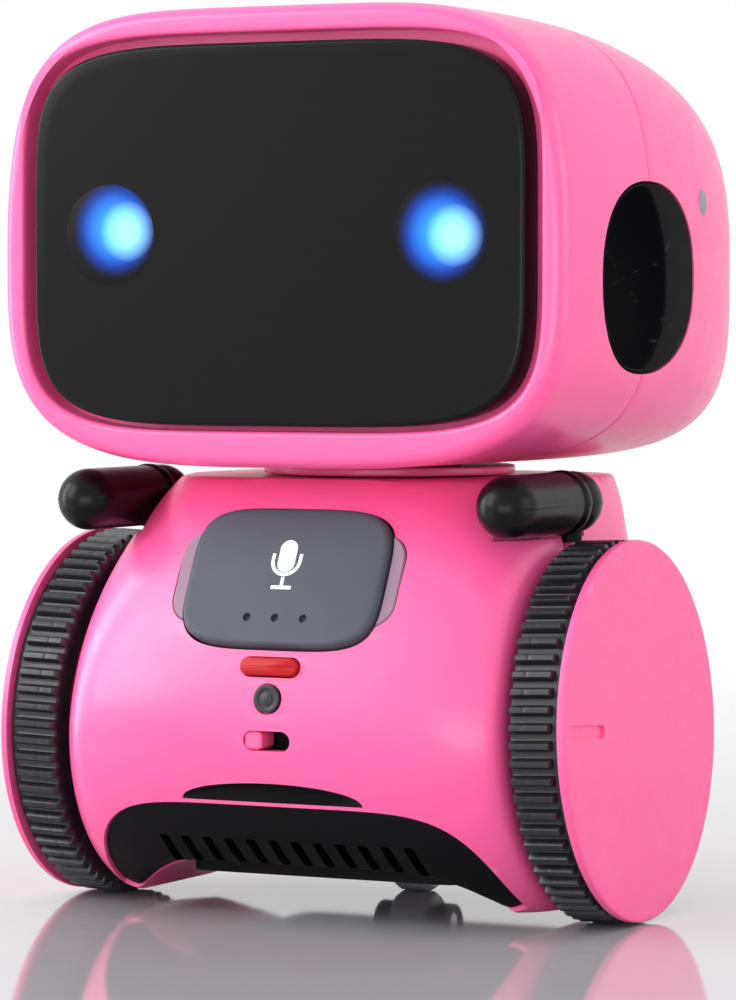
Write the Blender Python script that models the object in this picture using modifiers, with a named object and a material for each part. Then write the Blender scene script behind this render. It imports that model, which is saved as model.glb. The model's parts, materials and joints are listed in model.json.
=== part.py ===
"""Desktop talking robot toy: TV-shaped head on a two-wheeled bell body.

Metres, +Z up, the robot faces -Y and its own left hand is at +X.  Every node is one closed solid, and
the nodes of a moving group hang from an empty on their joint's axis.  Shapes are laid out about the
wheel line (y = 0 at the axles); the last step brings the frame's origin under the middle of the toy.
"""
from math import cos, pi, radians, sin, tan

import bmesh
import bpy
import numpy as np
from mathutils import Matrix

MM = 0.001
CENTRE_Y = 8.01 * MM            # the frame's origin lies this far behind the wheel line
GAP = 0.3 * MM                  # clearance between neighbouring pieces
WALL = 2.0 * MM                 # wall of the moulded shells
BIG = 0.2                       # size of the blocks that halve a shell at its seam
SMOOTH_ANGLE = radians(30.0)
SIDES = (("left", 1), ("right", -1))

# wheels: heights along the wheel's own outward axis
WHEEL_X, WHEEL_Z = 32.0 * MM, 22.0 * MM
CAMBER = radians(2.1)           # wheel tops lean inward
TYRE_R, TYRE_VALLEY_R, TYRE_BORE_R = 21.93 * MM, 21.2 * MM, 18.0 * MM
TYRE_RIBS = 68
TYRE_IN, TYRE_OUT = -2.8 * MM, 2.7 * MM
RIB_OUT = 1.6 * MM              # the bars stop here; a plain band follows
DISC_R, DISC_OUT = 21.9 * MM, 4.24 * MM
MARK_TURN = radians(4.1)        # the groove in each disc points at the axle from just above level
GEAR_TEETH, GEAR_TIP = 24, 7.3 * MM
PINION_TEETH, PINION_TIP = 8, 2.6 * MM
PINION_UP, PINION_BACK = 4.2 * MM, 9.1 * MM

# body: a bell turned about the axle line
BODY_HALF, FLANGE_R = 28.1 * MM, 17.7 * MM
BELLY_R, BACK_R = 23.6 * MM, 30.4 * MM
BODY_TOP, BODY_SEAM = 50.8 * MM, 1.3 * MM
BELLY_Z, FOOT_DROP = 6.2 * MM, 4.7 * MM

# head
HEAD_FRONT, HEAD_BACK, HEAD_SEAM = -21.5 * MM, 39.8 * MM, 0.0
HEAD_HALF, HEAD_MID, HEAD_UP, HEAD_DOWN = 37.8 * MM, 77.2 * MM, 27.7 * MM, 24.9 * MM
KEYSTONE = 0.11                 # narrowing of the head towards its top
PANEL_HALF, PANEL_Z, PANEL_POWER = (31.4 * MM, 21.8 * MM), 78.9 * MM, 5.0
PANEL_FRONT, PANEL_THICK = -22.0 * MM, 3.6 * MM
FACE_HALF, FACE_Z = (33.15 * MM, 22.7 * MM), 79.2 * MM
EYE_X, EYE_Z, EYE_R = 21.2 * MM, 79.0 * MM, 5.8 * MM
EAR_Y, EAR_Z = -0.3 * MM, 74.0 * MM
EAR_HALF, EAR_POWER = (12.3 * MM, 10.9 * MM), 2.3
SCOOP_R, SCOOP_OUT, SCOOP_FORE = 14.2 * MM, 46.0 * MM, 7.4 * MM
DOT_SPOT = (37.1 * MM, 15.4 * MM, 82.8 * MM)
HEAD_SCREW_SPOT = (24.0 * MM, 31.0 * MM, 63.0 * MM)
NECK_Y, NECK_R = 8.0 * MM, 8.5 * MM

# arms, measured from the shoulder pivot
ARM_X, ARM_Y, ARM_Z = 27.1 * MM, 0.6 * MM, 48.2 * MM
ARM_R, ARM_LONG = 3.6 * MM, 17.4 * MM

ROLLER_Y, ROLLER_R = 15.8 * MM, 3.6 * MM

# front controls: spot and lean of the surface there
BUTTON_SPOT, BUTTON_TILT = (0.0, -18.2 * MM, 39.6 * MM), radians(26.5)
BUTTON_SIZE, BUTTON_CORNER = (25.0 * MM, 17.2 * MM), 5.0 * MM
LAMP_SPOT, LAMP_TILT = (0.0, -22.9 * MM, 29.85 * MM), radians(11.8)
MARK_SPOT, MARK_TILT = (0.0, -23.4 * MM, 26.2 * MM), radians(6.3)
SLIDE_SPOT = (0.0, -23.6 * MM, 21.4 * MM)
SLIT_Z = 14.2 * MM
DOOR_HINGE = (0.0, 29.5 * MM, 16.0 * MM)

FINISH = {                      # base colour, roughness, metallic
    "pink": ((0.88, 0.08, 0.33), 0.38, 0.0),
    "black gloss": ((0.008, 0.008, 0.010), 0.22, 0.0),
    "black satin": ((0.012, 0.012, 0.013), 0.50, 0.0),
    "rubber": ((0.014, 0.015, 0.018), 0.62, 0.0),
    "panel": ((0.013, 0.013, 0.014), 0.28, 0.0),
    "button grey": ((0.08, 0.09, 0.11), 0.50, 0.0),
    "red": ((0.56, 0.02, 0.04), 0.30, 0.0),
    "blue light": ((0.03, 0.30, 1.0), 0.25, 0.0),
    "lavender": ((0.50, 0.40, 0.55), 0.32, 0.0),
    "grey": ((0.30, 0.28, 0.30), 0.45, 0.0),
    "white": ((0.76, 0.76, 0.73), 0.45, 0.0),
    "steel": ((0.55, 0.55, 0.57), 0.32, 1.0),
    "board": ((0.02, 0.20, 0.08), 0.42, 0.0),
    "cell": ((0.07, 0.24, 0.11), 0.35, 0.0),
}

for old in list(bpy.data.objects):
    bpy.data.objects.remove(old, do_unlink=True)
toy = bpy.data.collections.new("talking robot")
cutters = bpy.data.collections.new("cutters")
bpy.context.scene.collection.children.link(toy)
bpy.context.scene.collection.children.link(cutters)


# ---------------------------------------------------------------- making solids
def material(name, finish):
    """One material per node."""
    colour, roughness, metallic = FINISH[finish]
    mat = bpy.data.materials.new(name + " finish")
    mat.use_nodes = True
    shader = mat.node_tree.nodes["Principled BSDF"]
    shader.inputs["Base Color"].default_value = (*colour, 1.0)
    shader.inputs["Roughness"].default_value = roughness
    shader.inputs["Metallic"].default_value = metallic
    return mat


def empty(name, spot, turn=(0.0, 0.0, 0.0), parent=None):
    """A named pivot."""
    item = bpy.data.objects.new(name, None)
    item.parent, item.location, item.rotation_euler = parent, spot, turn
    toy.objects.link(item)
    return item


def enrol(name, mesh, finish=None, parent=None, spot=(0, 0, 0), turn=(0, 0, 0)):
    """Puts a mesh in the toy; without a finish it is a cutter."""
    item = bpy.data.objects.new(name, mesh)
    item.parent, item.location, item.rotation_euler = parent, spot, turn
    if finish:
        mesh.materials.append(material(name, finish))
        mesh.shade_smooth()
        mesh.set_sharp_from_angle(angle=SMOOTH_ANGLE)
        toy.objects.link(item)
    else:
        item.hide_render, item.display_type = True, "WIRE"
        cutters.objects.link(item)
    return item


def shaped(name, shape):
    """Mesh from a bmesh."""
    mesh = bpy.data.meshes.new(name)
    shape.to_mesh(mesh)
    shape.free()
    return mesh


def block(name, size, finish=None, **place):
    """A box centred on its place."""
    shape = bmesh.new()
    bmesh.ops.create_cube(shape, size=1.0, matrix=Matrix.Diagonal((*size, 1.0)))
    return enrol(name, shaped(name, shape), finish, **place)


def rod(name, radius, low, high, finish=None, steps=24, **place):
    """A plain cylinder along local Z."""
    shape = bmesh.new()
    bmesh.ops.create_cone(shape, cap_ends=True, segments=steps, radius1=radius, radius2=radius,
                          depth=high - low, matrix=Matrix.Translation((0, 0, (low + high) / 2)))
    return enrol(name, shaped(name, shape), finish, **place)


def lathe(name, profile, finish=None, steps=24, **place):
    """Turns a profile of (radius, height) about local Z; it runs top to bottom down the outer side."""
    mesh = bpy.data.meshes.new(name)
    edges = [(i, i + 1) for i in range(len(profile) - 1)]
    if profile[0][0] > 0:
        edges.append((len(profile) - 1, 0))
    mesh.from_pydata([(r, 0.0, h) for r, h in profile], edges, [])
    item = enrol(name, mesh, finish, **place)
    spin = item.modifiers.new("turn", "SCREW")
    spin.axis, spin.angle, spin.screw_offset = "Z", 2 * pi, 0.0
    spin.steps = spin.render_steps = steps
    spin.use_merge_vertices, spin.merge_threshold = True, 1e-6
    spin.use_smooth_shade = True
    return item


def plate(name, outline, low, high, finish=None, upright=False, **place):
    """Fills a flat outline and gives it thickness along Z; upright stands it up to face -Y instead."""
    curve = bpy.data.curves.new(name, "CURVE")
    curve.dimensions, curve.fill_mode, curve.extrude = "2D", "BOTH", (high - low) / 2
    line = curve.splines.new("POLY")
    line.points.add(len(outline) - 1)
    line.points.foreach_set("co", np.column_stack([outline, np.zeros(len(outline)),
                                                   np.ones(len(outline))]).ravel())
    line.use_cyclic_u = True
    draft = bpy.data.objects.new(name, curve)
    cutters.objects.link(draft)
    bpy.context.view_layer.update()
    mesh = bpy.data.meshes.new_from_object(draft.evaluated_get(bpy.context.evaluated_depsgraph_get()))
    bpy.data.objects.remove(draft, do_unlink=True)
    shape = bmesh.new()
    shape.from_mesh(mesh)
    bmesh.ops.remove_doubles(shape, verts=shape.verts, dist=1e-6)
    middle = (low + high) / 2
    stand = Matrix.Rotation(pi / 2, 4, "X") if upright else Matrix()
    lift = Matrix.Translation((0, middle, 0) if upright else (0, 0, middle))
    shape.transform(lift @ stand)
    bmesh.ops.recalc_face_normals(shape, faces=shape.faces)
    shape.to_mesh(mesh)
    shape.free()
    return enrol(name, mesh, finish, **place)


def front_plate(name, outline, near, far, finish=None, **place):
    """An XZ outline with thickness along Y."""
    return plate(name, outline, near, far, finish, upright=True, **place)


def loft(name, rings, finish=None, closed=False, **place):
    """Skins equal rings; closed joins the last to the first, else both ends are capped."""
    rings = np.asarray(rings, float)
    count, sides = rings.shape[:2]
    turn = np.arange(sides)
    after = (turn + 1) % sides
    faces = []
    for low in range(count if closed else count - 1):
        high = (low + 1) % count
        faces += np.stack([low * sides + turn, low * sides + after,
                           high * sides + after, high * sides + turn], 1).tolist()
    if not closed:
        faces += [list(range(sides))[::-1], list(range((count - 1) * sides, count * sides))]
    mesh = bpy.data.meshes.new(name)
    mesh.from_pydata(rings.reshape(-1, 3).tolist(), [], faces)
    shape = bmesh.new()
    shape.from_mesh(mesh)
    bmesh.ops.recalc_face_normals(shape, faces=shape.faces)
    bmesh.ops.triangulate(shape, faces=shape.faces)          # Booleans need flat faces
    shape.to_mesh(mesh)
    shape.free()
    return enrol(name, mesh, finish, **place)


def cut(item, *tools, operation="DIFFERENCE"):
    """Exact Booleans, in order."""
    for tool in tools:
        step = item.modifiers.new(operation.lower(), "BOOLEAN")
        step.operation, step.solver, step.object = operation, "EXACT", tool
    return item


# ---------------------------------------------------------------- outlines and surfaces
def rounded(wide, high, corner, steps=4):
    """Outline of a rounded rectangle about the origin."""
    out = []
    for cx, cz, start in ((1, 1, 0), (-1, 1, 90), (-1, -1, 180), (1, -1, 270)):
        for i in range(steps + 1):
            a = radians(start + 90 * i / steps)
            out.append((cx * (wide / 2 - corner) + corner * cos(a),
                        cz * (high / 2 - corner) + corner * sin(a)))
    return out


def signed_power(value, power):
    return np.sign(value) * np.abs(value) ** power


def oval(half, power, count=40):
    """Squared ellipse outline about the origin."""
    a = (np.arange(count) + 0.5) * 2 * pi / count
    return np.stack([half[0] * signed_power(np.cos(a), 2 / power),
                     half[1] * signed_power(np.sin(a), 2 / power)], 1)


def lens(wide, high):
    """Eyebrow outline: arched above, straight below."""
    over = [(a * wide / 2, high * (1 - a * a) ** 0.6) for a in np.linspace(1, -1, 15)]
    return over + [(-wide / 2 + wide * i / 4, -0.01 * MM) for i in (1, 2, 3)]


def skirt_outline(grow=0.0):
    """Front view of the black skirt: level top that falls away beside the wheels."""
    half, rise = 26.5 * MM + grow, 12.2 * MM + grow
    top = [(a * half, 1.2 * MM + rise * (1 - abs(a) ** 7) ** 0.8) for a in np.linspace(1, -1, 31)]
    return top + [(-half, -2 * MM), (half, -2 * MM)]


def door_outline(grow=0.0):
    return rounded(40 * MM + 2 * grow, 29 * MM + 2 * grow, 3 * MM)


def head_ring(y, inset=0.0, sides=40):
    """Outline of the head at depth y: a squared ellipse, narrower at the top, falling away behind."""
    back = HEAD_BACK - inset
    t = np.clip((y - HEAD_FRONT) / (back - HEAD_FRONT), 0.0, 1.0)
    wide = HEAD_HALF * (1 - 0.05 * (1 - t) ** 4) * (1 - t ** 5.6) ** (1 / 5.6)
    up = HEAD_UP * (1 - t ** 2.94) ** (1 / 2.94)
    down = HEAD_DOWN * (1 - t ** 10.0) ** 0.1
    a = (np.arange(sides) + 0.5) * 2 * pi / sides
    power = np.where(np.sin(a) > 0, 4.9, 3.6 + 0.7 * t)
    c, s = signed_power(np.cos(a), 2 / power), signed_power(np.sin(a), 2 / power)
    tall = np.where(s > 0, up, down) - inset
    lean = 1 - KEYSTONE * np.maximum(s, 0) ** 2
    return np.stack([np.maximum(wide - inset, 1e-4) * c * lean, np.full(sides, y),
                     HEAD_MID + np.maximum(tall, 1e-4) * s], 1)


def head_solid(name, inset=0.0, finish=None, **place):
    """The whole head as one solid, its front rim rounded; an inset makes its hollow."""
    if inset:
        depths = [HEAD_FRONT + 6 * MM] + [d * MM for d in (6, 20, 28, 33, 36.6, 37.6)]
        rings = [head_ring(y, inset) for y in depths]
    else:
        rings = [head_ring(HEAD_FRONT + d * MM, i * MM) for d, i in ((0.0, 1.4), (0.4, 0.5), (1.6, 0.0))]
        rings += [head_ring(d * MM) for d in (-8, 6, 16, 23, 29, 34, 37.5, 39.1, 39.73)]
    return loft(name, rings, finish, **place)


def body_solid(name, inset=0.0, finish=None, sides=44, **place):
    """The bell: round flanges at the ends swelling to the middle, level on top, with feet below."""
    a = (np.arange(sides) + 0.5) * 2 * pi / sides          # 0 = back, 90 = top, 180 = front
    up = np.degrees(np.arcsin(np.clip(np.sin(a), -1, 1)))
    level = np.cos(np.radians(up))
    rise = np.maximum(up, 0.0) / 90
    fore = BELLY_R + 16.4 * MM * rise ** 2.82
    aft = np.where(up > 0, BACK_R / np.maximum(level, 0.35) ** 0.8,
                   BELLY_R + (BACK_R - BELLY_R) * level ** 3)
    centre = np.minimum(np.where(np.cos(a) < 0, fore, aft), 45 * MM)
    power = 3.8 - 1.95 * rise
    rings = []
    for u in (-1, -0.98, -0.93, -0.83, -0.68, -0.48, -0.2, 0.2, 0.48, 0.68, 0.83, 0.93, 0.98, 1):
        swell = (1 - abs(u) ** power) ** (1 / power)
        r = FLANGE_R + (centre - FLANGE_R) * swell - inset
        y, z = r * np.cos(a), WHEEL_Z + r * np.sin(a)
        low = BELLY_Z - FOOT_DROP * min(1.0, (abs(u) / 0.85) ** 6) + inset
        z = np.clip(z, low, BODY_TOP - inset)
        half = BODY_HALF - inset - tan(CAMBER) * np.clip(z - WHEEL_Z, -20 * MM, 20 * MM)
        half -= 0.01 * np.maximum(z - WHEEL_Z, 0)
        rings.append(np.stack([u * half, y, z], 1))
    return loft(name, rings, finish, **place)


def shoulder(side, grow=0.0):
    """Space the arm sweeps: a shelf in the shoulder, rounded behind the pivot."""
    reach, clear = 30 * MM, ARM_R + 0.7 * MM + grow
    out = [(side * (ARM_X + reach), -reach), (side * (ARM_X - clear), -reach)]
    for i in range(9):
        b = pi - pi / 2 * i / 8
        out.append((side * (ARM_X + clear * cos(b)), ARM_Y + clear * sin(b)))
    out.append((side * (ARM_X + reach), ARM_Y + clear))
    return plate("shoulder space", out, ARM_Z - ARM_R - 0.5 * MM - grow, BODY_TOP + 3 * MM)


def from_button(x, y, z):
    """A place in the leaning plane of the talk key."""
    c, s = cos(BUTTON_TILT), sin(BUTTON_TILT)
    return tuple(np.add(BUTTON_SPOT, (x, y * c + z * s, -y * s + z * c)))


def halves(name, seam):
    """Blocks that take away everything ahead of a seam, and everything behind it."""
    size = (BIG, BIG, 2 * BIG)
    return (block("ahead of " + name, size, spot=(0, seam - BIG / 2 + GAP / 2, BIG / 2)),
            block("behind " + name, size, spot=(0, seam + BIG / 2 - GAP / 2, BIG / 2)))


# ---------------------------------------------------------------- head
head = empty("head pivot", (0.0, NECK_Y, BODY_TOP))


def headed(x=0.0, y=0.0, z=0.0):
    """Places a piece of the head by its spot on the toy."""
    return {"parent": head, "spot": (x, y - NECK_Y, z - BODY_TOP)}


before_seam, past_seam = halves("head seam", HEAD_SEAM)
head_core = head_solid("head core", WALL)
seat_y = PANEL_FRONT + PANEL_THICK + GAP
face_hole = loft("face hole", [
    np.insert(oval(half, PANEL_POWER, 44), 1, y, axis=1)
    for y, half in ((HEAD_FRONT - 5 * MM, FACE_HALF), (seat_y, FACE_HALF),
                    (seat_y, np.subtract(PANEL_HALF, 2 * MM)),
                    (HEAD_FRONT + 8.3 * MM, np.subtract(PANEL_HALF, 2 * MM)))], spot=(0, 0, FACE_Z))
ear_holes = [front_plate("ear hole " + side, oval(np.add(EAR_HALF, GAP), EAR_POWER, 32), -8 * MM, 8 * MM,
                         turn=(0, 0, pi / 2), spot=(k * 37 * MM, EAR_Y, EAR_Z)) for side, k in SIDES]
neck_hole = rod("neck hole", NECK_R + GAP, -8 * MM, 8 * MM, steps=32, spot=(0, NECK_Y, BODY_TOP + 2 * MM))
head_front = head_solid("head_front_shell", 0.0, "pink", **headed())
head_rear = head_solid("head_rear_shell", 0.0, "pink", **headed())
cut(head_front, head_core, *ear_holes, neck_hole, face_hole, past_seam)
cut(head_rear, head_core, *ear_holes, neck_hole, before_seam)

panel = front_plate("face_panel", oval(PANEL_HALF, PANEL_POWER), PANEL_FRONT, PANEL_FRONT + PANEL_THICK,
                    "panel", **headed(z=PANEL_Z))
for side, k in SIDES:
    eye_hole = rod("eye hole " + side, EYE_R + 0.15 * MM, -9 * MM, 9 * MM, steps=28, turn=(pi / 2, 0, 0),
                   spot=(k * EYE_X, PANEL_FRONT, EYE_Z))
    cut(panel, eye_hole)
    at_eye = headed(k * EYE_X, PANEL_FRONT, EYE_Z)
    rod("eye_lens_" + side, EYE_R, -PANEL_THICK, 0, "blue light", 28, turn=(pi / 2, 0, 0), **at_eye)
    back = PANEL_THICK + 0.6 * MM
    lathe("eye_lamp_" + side, [(0, -back), (1.6 * MM, -back - 0.6 * MM), (2.5 * MM, -back - 2.2 * MM),
                               (2.5 * MM, -back - 4.2 * MM), (0, -back - 4.2 * MM)], "white", 20,
          turn=(pi / 2, 0, 0), **at_eye)

    # ear: a plug that follows the side of the head, scooped out ahead of a crescent
    ear = head_solid("ear_" + side, 0.0, "black gloss", **headed())
    field = front_plate("ear field " + side, oval(EAR_HALF, EAR_POWER, 32), -4 * MM, 4 * MM,
                        turn=(0, 0, pi / 2), spot=(k * 35.5 * MM, EAR_Y, EAR_Z))
    scoop = lathe("ear scoop " + side, [(SCOOP_R * sin(pi * i / 8), SCOOP_R * cos(pi * i / 8))
                                        for i in range(9)], None, 28,
                  spot=(k * SCOOP_OUT, EAR_Y - SCOOP_FORE, EAR_Z))
    cut(ear, field, operation="INTERSECT")
    cut(ear, scoop)

    dot_x, dot_y, dot_z = k * DOT_SPOT[0], *DOT_SPOT[1:]
    front_plate("head_dot_" + side, oval((1.1 * MM, 1.6 * MM), 2.0, 16), -0.55 * MM, 0.55 * MM, "grey",
                turn=(0, 0, pi / 2), **headed(dot_x, dot_y, dot_z))
    cut(head_rear, front_plate("dot pocket " + side, oval((1.3 * MM, 1.8 * MM), 2.0, 16), -0.75 * MM, 3 * MM,
                               turn=(0, 0, k * pi / 2), spot=(dot_x, dot_y, dot_z)))
    screw_spot = (k * HEAD_SCREW_SPOT[0], *HEAD_SCREW_SPOT[1:])
    rod("head_screw_" + side, 1.6 * MM, -6 * MM, 6 * MM, "steel", 20, turn=(-pi / 2, 0, 0),
        **headed(*screw_spot))
    cut(head_rear, rod("screw hole " + side, 1.9 * MM, -7 * MM, 14 * MM, steps=20, turn=(-pi / 2, 0, 0),
                       spot=screw_spot))

front_plate("face_board", rounded(54 * MM, 30 * MM, 2 * MM), -11.6 * MM, -10.4 * MM, "board",
            **headed(z=79 * MM))
block("touch_plate", (24 * MM, 12 * MM, 0.6 * MM), "steel", **headed(y=1 * MM, z=99.8 * MM))

# neck: the post rises out of the body and the ring holds the head down
lathe("neck_post", [(NECK_R, 57.0 * MM), (NECK_R, 48.5 * MM), (NECK_R + 2.6 * MM, 48.5 * MM),
                    (NECK_R + 2.6 * MM, 47.5 * MM), (6.4 * MM, 47.5 * MM), (6.4 * MM, 57.0 * MM)],
      "black satin", 28, spot=(0, NECK_Y, 0))
lathe("neck_ring", [(13 * MM, 56.4 * MM), (13 * MM, 54.9 * MM), (NECK_R + GAP, 54.9 * MM),
                    (NECK_R + GAP, 56.4 * MM)], "white", 28, spot=(0, NECK_Y, 0))
lathe("neck_collar", [(15 * MM, 52.0 * MM), (15 * MM, 51.0 * MM), (NECK_R + GAP, 51.0 * MM),
                      (NECK_R + GAP, 52.0 * MM)], "pink", 28, spot=(0, NECK_Y, 0))

# ---------------------------------------------------------------- body shells
leaning = {"spot": BUTTON_SPOT, "turn": (-BUTTON_TILT, 0, 0)}
boring = {"spot": BUTTON_SPOT, "turn": (pi / 2 - BUTTON_TILT, 0, 0)}
key_space = rounded(BUTTON_SIZE[0] + 2 * GAP, BUTTON_SIZE[1] + 2 * GAP, BUTTON_CORNER + GAP)
before_seam, past_seam = halves("body seam", BODY_SEAM)
body_core = cut(body_solid("body core", WALL), shoulder(1, WALL), shoulder(-1, WALL))
neck_seat = rod("neck seat", NECK_R + GAP, -6 * MM, 6 * MM, steps=32, spot=(0, NECK_Y, BODY_TOP))
axle_holes = [rod("axle hole " + side, 2.6 * MM, -8 * MM, 0, turn=(0, k * (pi / 2 - CAMBER), 0),
                  spot=(k * WHEEL_X, 0, WHEEL_Z)) for side, k in SIDES]
pin_holes = [rod("pin hole " + side, 1.45 * MM, -7 * MM, -1 * MM, steps=20,
                 spot=(k * ARM_X, ARM_Y, ARM_Z)) for side, k in SIDES]
base_hole = plate("base hole", rounded(36.6 * MM, 31.6 * MM, 3 * MM), -2 * MM, 14 * MM, spot=(0, 6 * MM, 0))
common = [body_core, neck_seat, *axle_holes, shoulder(1), shoulder(-1), base_hole]

body_front = body_solid("body_front_shell", 0.0, "pink")
cut(body_front, *common, past_seam,
    front_plate("button hole", key_space, -6 * MM, 10 * MM, **leaning),
    front_plate("halo hole", rounded(29.2 * MM, 12.0 * MM, 3.3 * MM), -6 * MM, 10 * MM, **leaning),
    front_plate("lamp hole", rounded(7.9 * MM, 2.7 * MM, 1.3 * MM), -5 * MM, 6 * MM, spot=LAMP_SPOT,
                turn=(-LAMP_TILT, 0, 0)),
    rod("mark pocket", 1.8 * MM, -0.9 * MM, 3 * MM, spot=MARK_SPOT, turn=(pi / 2 - MARK_TILT, 0, 0)),
    front_plate("slide hole", rounded(6.0 * MM, 2.3 * MM, 1.1 * MM), -5 * MM, 4 * MM, spot=SLIDE_SPOT),
    front_plate("slit hole", lens(23.4 * MM, 2.1 * MM), -30 * MM, -14 * MM, spot=(0, 0, SLIT_Z)),
    front_plate("skirt hole", skirt_outline(GAP), -34 * MM, -10 * MM + GAP), *pin_holes)
body_rear = body_solid("body_rear_shell", 0.0, "pink")
cut(body_rear, *common, before_seam,
    front_plate("door hole", door_outline(GAP), 12 * MM, 40 * MM, spot=(0, 0, 30.5 * MM)), *pin_holes)

skirt = body_solid("speaker_skirt", 0.35 * MM, "black satin")
cut(skirt, body_solid("skirt core", WALL + 0.3 * MM))
cut(skirt, front_plate("skirt field", skirt_outline(), -34 * MM, -10 * MM), operation="INTERSECT")
for i in range(12):
    lean, half = 0.5 * MM, 0.62 * MM
    slot = [(-half - lean, 1.7 * MM), (half - lean, 1.7 * MM), (half + lean, -1.7 * MM),
            (-half + lean, -1.7 * MM)]
    cut(skirt, front_plate("slot %d" % (i + 1), slot, -34 * MM, -10 * MM,
                           spot=((i - 5.3) * 2.87 * MM, 0, 7.9 * MM)))

door_pivot = empty("door pivot", DOOR_HINGE)
door = body_solid("battery_door", 0.0, "pink", parent=door_pivot, spot=tuple(np.negative(DOOR_HINGE)))
cut(door, body_solid("door core", WALL - 0.2 * MM))
cut(door, front_plate("door field", door_outline(), 12 * MM, 40 * MM, spot=(0, 0, 30.5 * MM)),
    operation="INTERSECT")
cut(door, rod("door screw hole", 1.9 * MM, -9 * MM, 9 * MM, steps=20, turn=(pi / 2, 0, 0),
              spot=(0, 28 * MM, 41.5 * MM)))
rod("door_screw", 1.6 * MM, -0.4 * MM, 1.0 * MM, "steel", 20, turn=(-pi / 2, 0, 0), parent=door_pivot,
    spot=(0, -0.9 * MM, 25.5 * MM))
front_plate("sensor_window", lens(22.6 * MM, 1.6 * MM), -22.2 * MM, -20.8 * MM, "black gloss",
            spot=(0, 0, SLIT_Z + 0.2 * MM))

# base plate with a roller bracket
base = plate("base_plate", rounded(36 * MM, 31 * MM, 2.7 * MM), 4.3 * MM, 6.1 * MM, "black satin",
             spot=(0, 6 * MM, 0))
for k in (1, -1):
    cut(base, front_plate("cheek", rounded(6 * MM, 7 * MM, 2.9 * MM), -0.8 * MM, 0.8 * MM,
                          spot=(k * 3.9 * MM, ROLLER_Y, 4.9 * MM), turn=(0, 0, pi / 2)), operation="UNION")
cut(base, block("roller well", (6.0 * MM, 8.4 * MM, 8 * MM), spot=(0, ROLLER_Y, 6.2 * MM)),
    rod("roller pin hole", 1.1 * MM, -9 * MM, 9 * MM, steps=20, turn=(0, pi / 2, 0),
        spot=(0, ROLLER_Y, ROLLER_R)))
rolling = {"turn": (0, pi / 2, 0), "spot": (0, ROLLER_Y, ROLLER_R)}
lathe("caster_roller", [(3.1 * MM, 2.4 * MM), (ROLLER_R, 1.7 * MM), (ROLLER_R, -1.7 * MM),
                        (3.1 * MM, -2.4 * MM), (1.2 * MM, -2.4 * MM), (1.2 * MM, 2.4 * MM)],
      "grey", 24, **rolling)
rod("caster_pin", 1.0 * MM, -4.8 * MM, 4.8 * MM, "steel", 20, **rolling)

# ---------------------------------------------------------------- front controls
button = front_plate("mic_button", rounded(*BUTTON_SIZE, BUTTON_CORNER), -0.9 * MM, 1.9 * MM, "button grey",
                     **leaning)
cut(button, rod("button stem", 2.2 * MM, -6.2 * MM, -1.5 * MM, **boring), operation="UNION")
for i in (-1, 0, 1):
    cut(button, rod("voice hole %d" % (i + 2), 0.55 * MM, 0.2 * MM, 3 * MM, steps=16,
                    spot=from_button(i * 3.6 * MM, 0, -5.3 * MM), turn=(pi / 2 - BUTTON_TILT, 0, 0)))
halo = front_plate("button_halo", rounded(28.6 * MM, 11.4 * MM, 3.0 * MM), -0.1 * MM, 4.6 * MM, "lavender",
                   **leaning)
cut(halo, front_plate("button well", key_space, -6 * MM, 3.4 * MM, **leaning),
    rod("stem hole", 2.6 * MM, -12 * MM, 2 * MM, **boring))
block("button_switch", (6 * MM, 3 * MM, 6 * MM), "black satin", turn=(-BUTTON_TILT, 0, 0),
      spot=from_button(0, 9.2 * MM, 0))
front_plate("record_lamp", rounded(7.3 * MM, 2.1 * MM, 1.04 * MM), -0.5 * MM, 2.4 * MM, "red",
            spot=LAMP_SPOT, turn=(-LAMP_TILT, 0, 0))
rod("record_mark", 1.5 * MM, -0.6 * MM, 0.15 * MM, "black satin", spot=MARK_SPOT,
    turn=(pi / 2 - MARK_TILT, 0, 0))
slider = block("slide_switch", (9 * MM, 3.4 * MM, 4.6 * MM), "black satin",
               spot=tuple(np.add(SLIDE_SPOT, (0, 4.1 * MM, 0))))
cut(slider, block("slide track", (6 * MM, 2.2 * MM, 2.2 * MM),
                  spot=tuple(np.add(SLIDE_SPOT, (0, 2.6 * MM, 0)))))
front_plate("slide_knob", rounded(2.0 * MM, 1.7 * MM, 0.4 * MM), 0.2 * MM, 3.2 * MM, "pink",
            spot=tuple(np.add(SLIDE_SPOT, (-1.6 * MM, 0, 0))))

# ---------------------------------------------------------------- inside the body
lathe("speaker", [(0, 2.0 * MM), (8.6 * MM, 2.0 * MM), (8.6 * MM, 0.6 * MM), (6.0 * MM, -1.2 * MM),
                  (4.0 * MM, -1.2 * MM), (4.0 * MM, -3.4 * MM), (0, -3.4 * MM)], "black satin", 24,
      spot=(0, -13.2 * MM, 17.2 * MM), turn=(pi / 2, 0, 0))
block("main_board", (34 * MM, 1.2 * MM, 18 * MM), "board", spot=(0, -4.2 * MM, 35.0 * MM))
for i, (y, z) in enumerate(((18.8, 20.6), (19.0, 31.3), (16.4, 41.3))):
    lathe("cell_%d" % (i + 1), [(0, 22.2 * MM), (1.9 * MM, 22.2 * MM), (1.9 * MM, 21.4 * MM),
                                (5.1 * MM, 21.4 * MM), (5.1 * MM, -21.8 * MM), (0, -21.8 * MM)], "cell", 20,
          spot=(0, y * MM, z * MM), turn=(0, pi / 2 * (1 if i % 2 else -1), 0))


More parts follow.
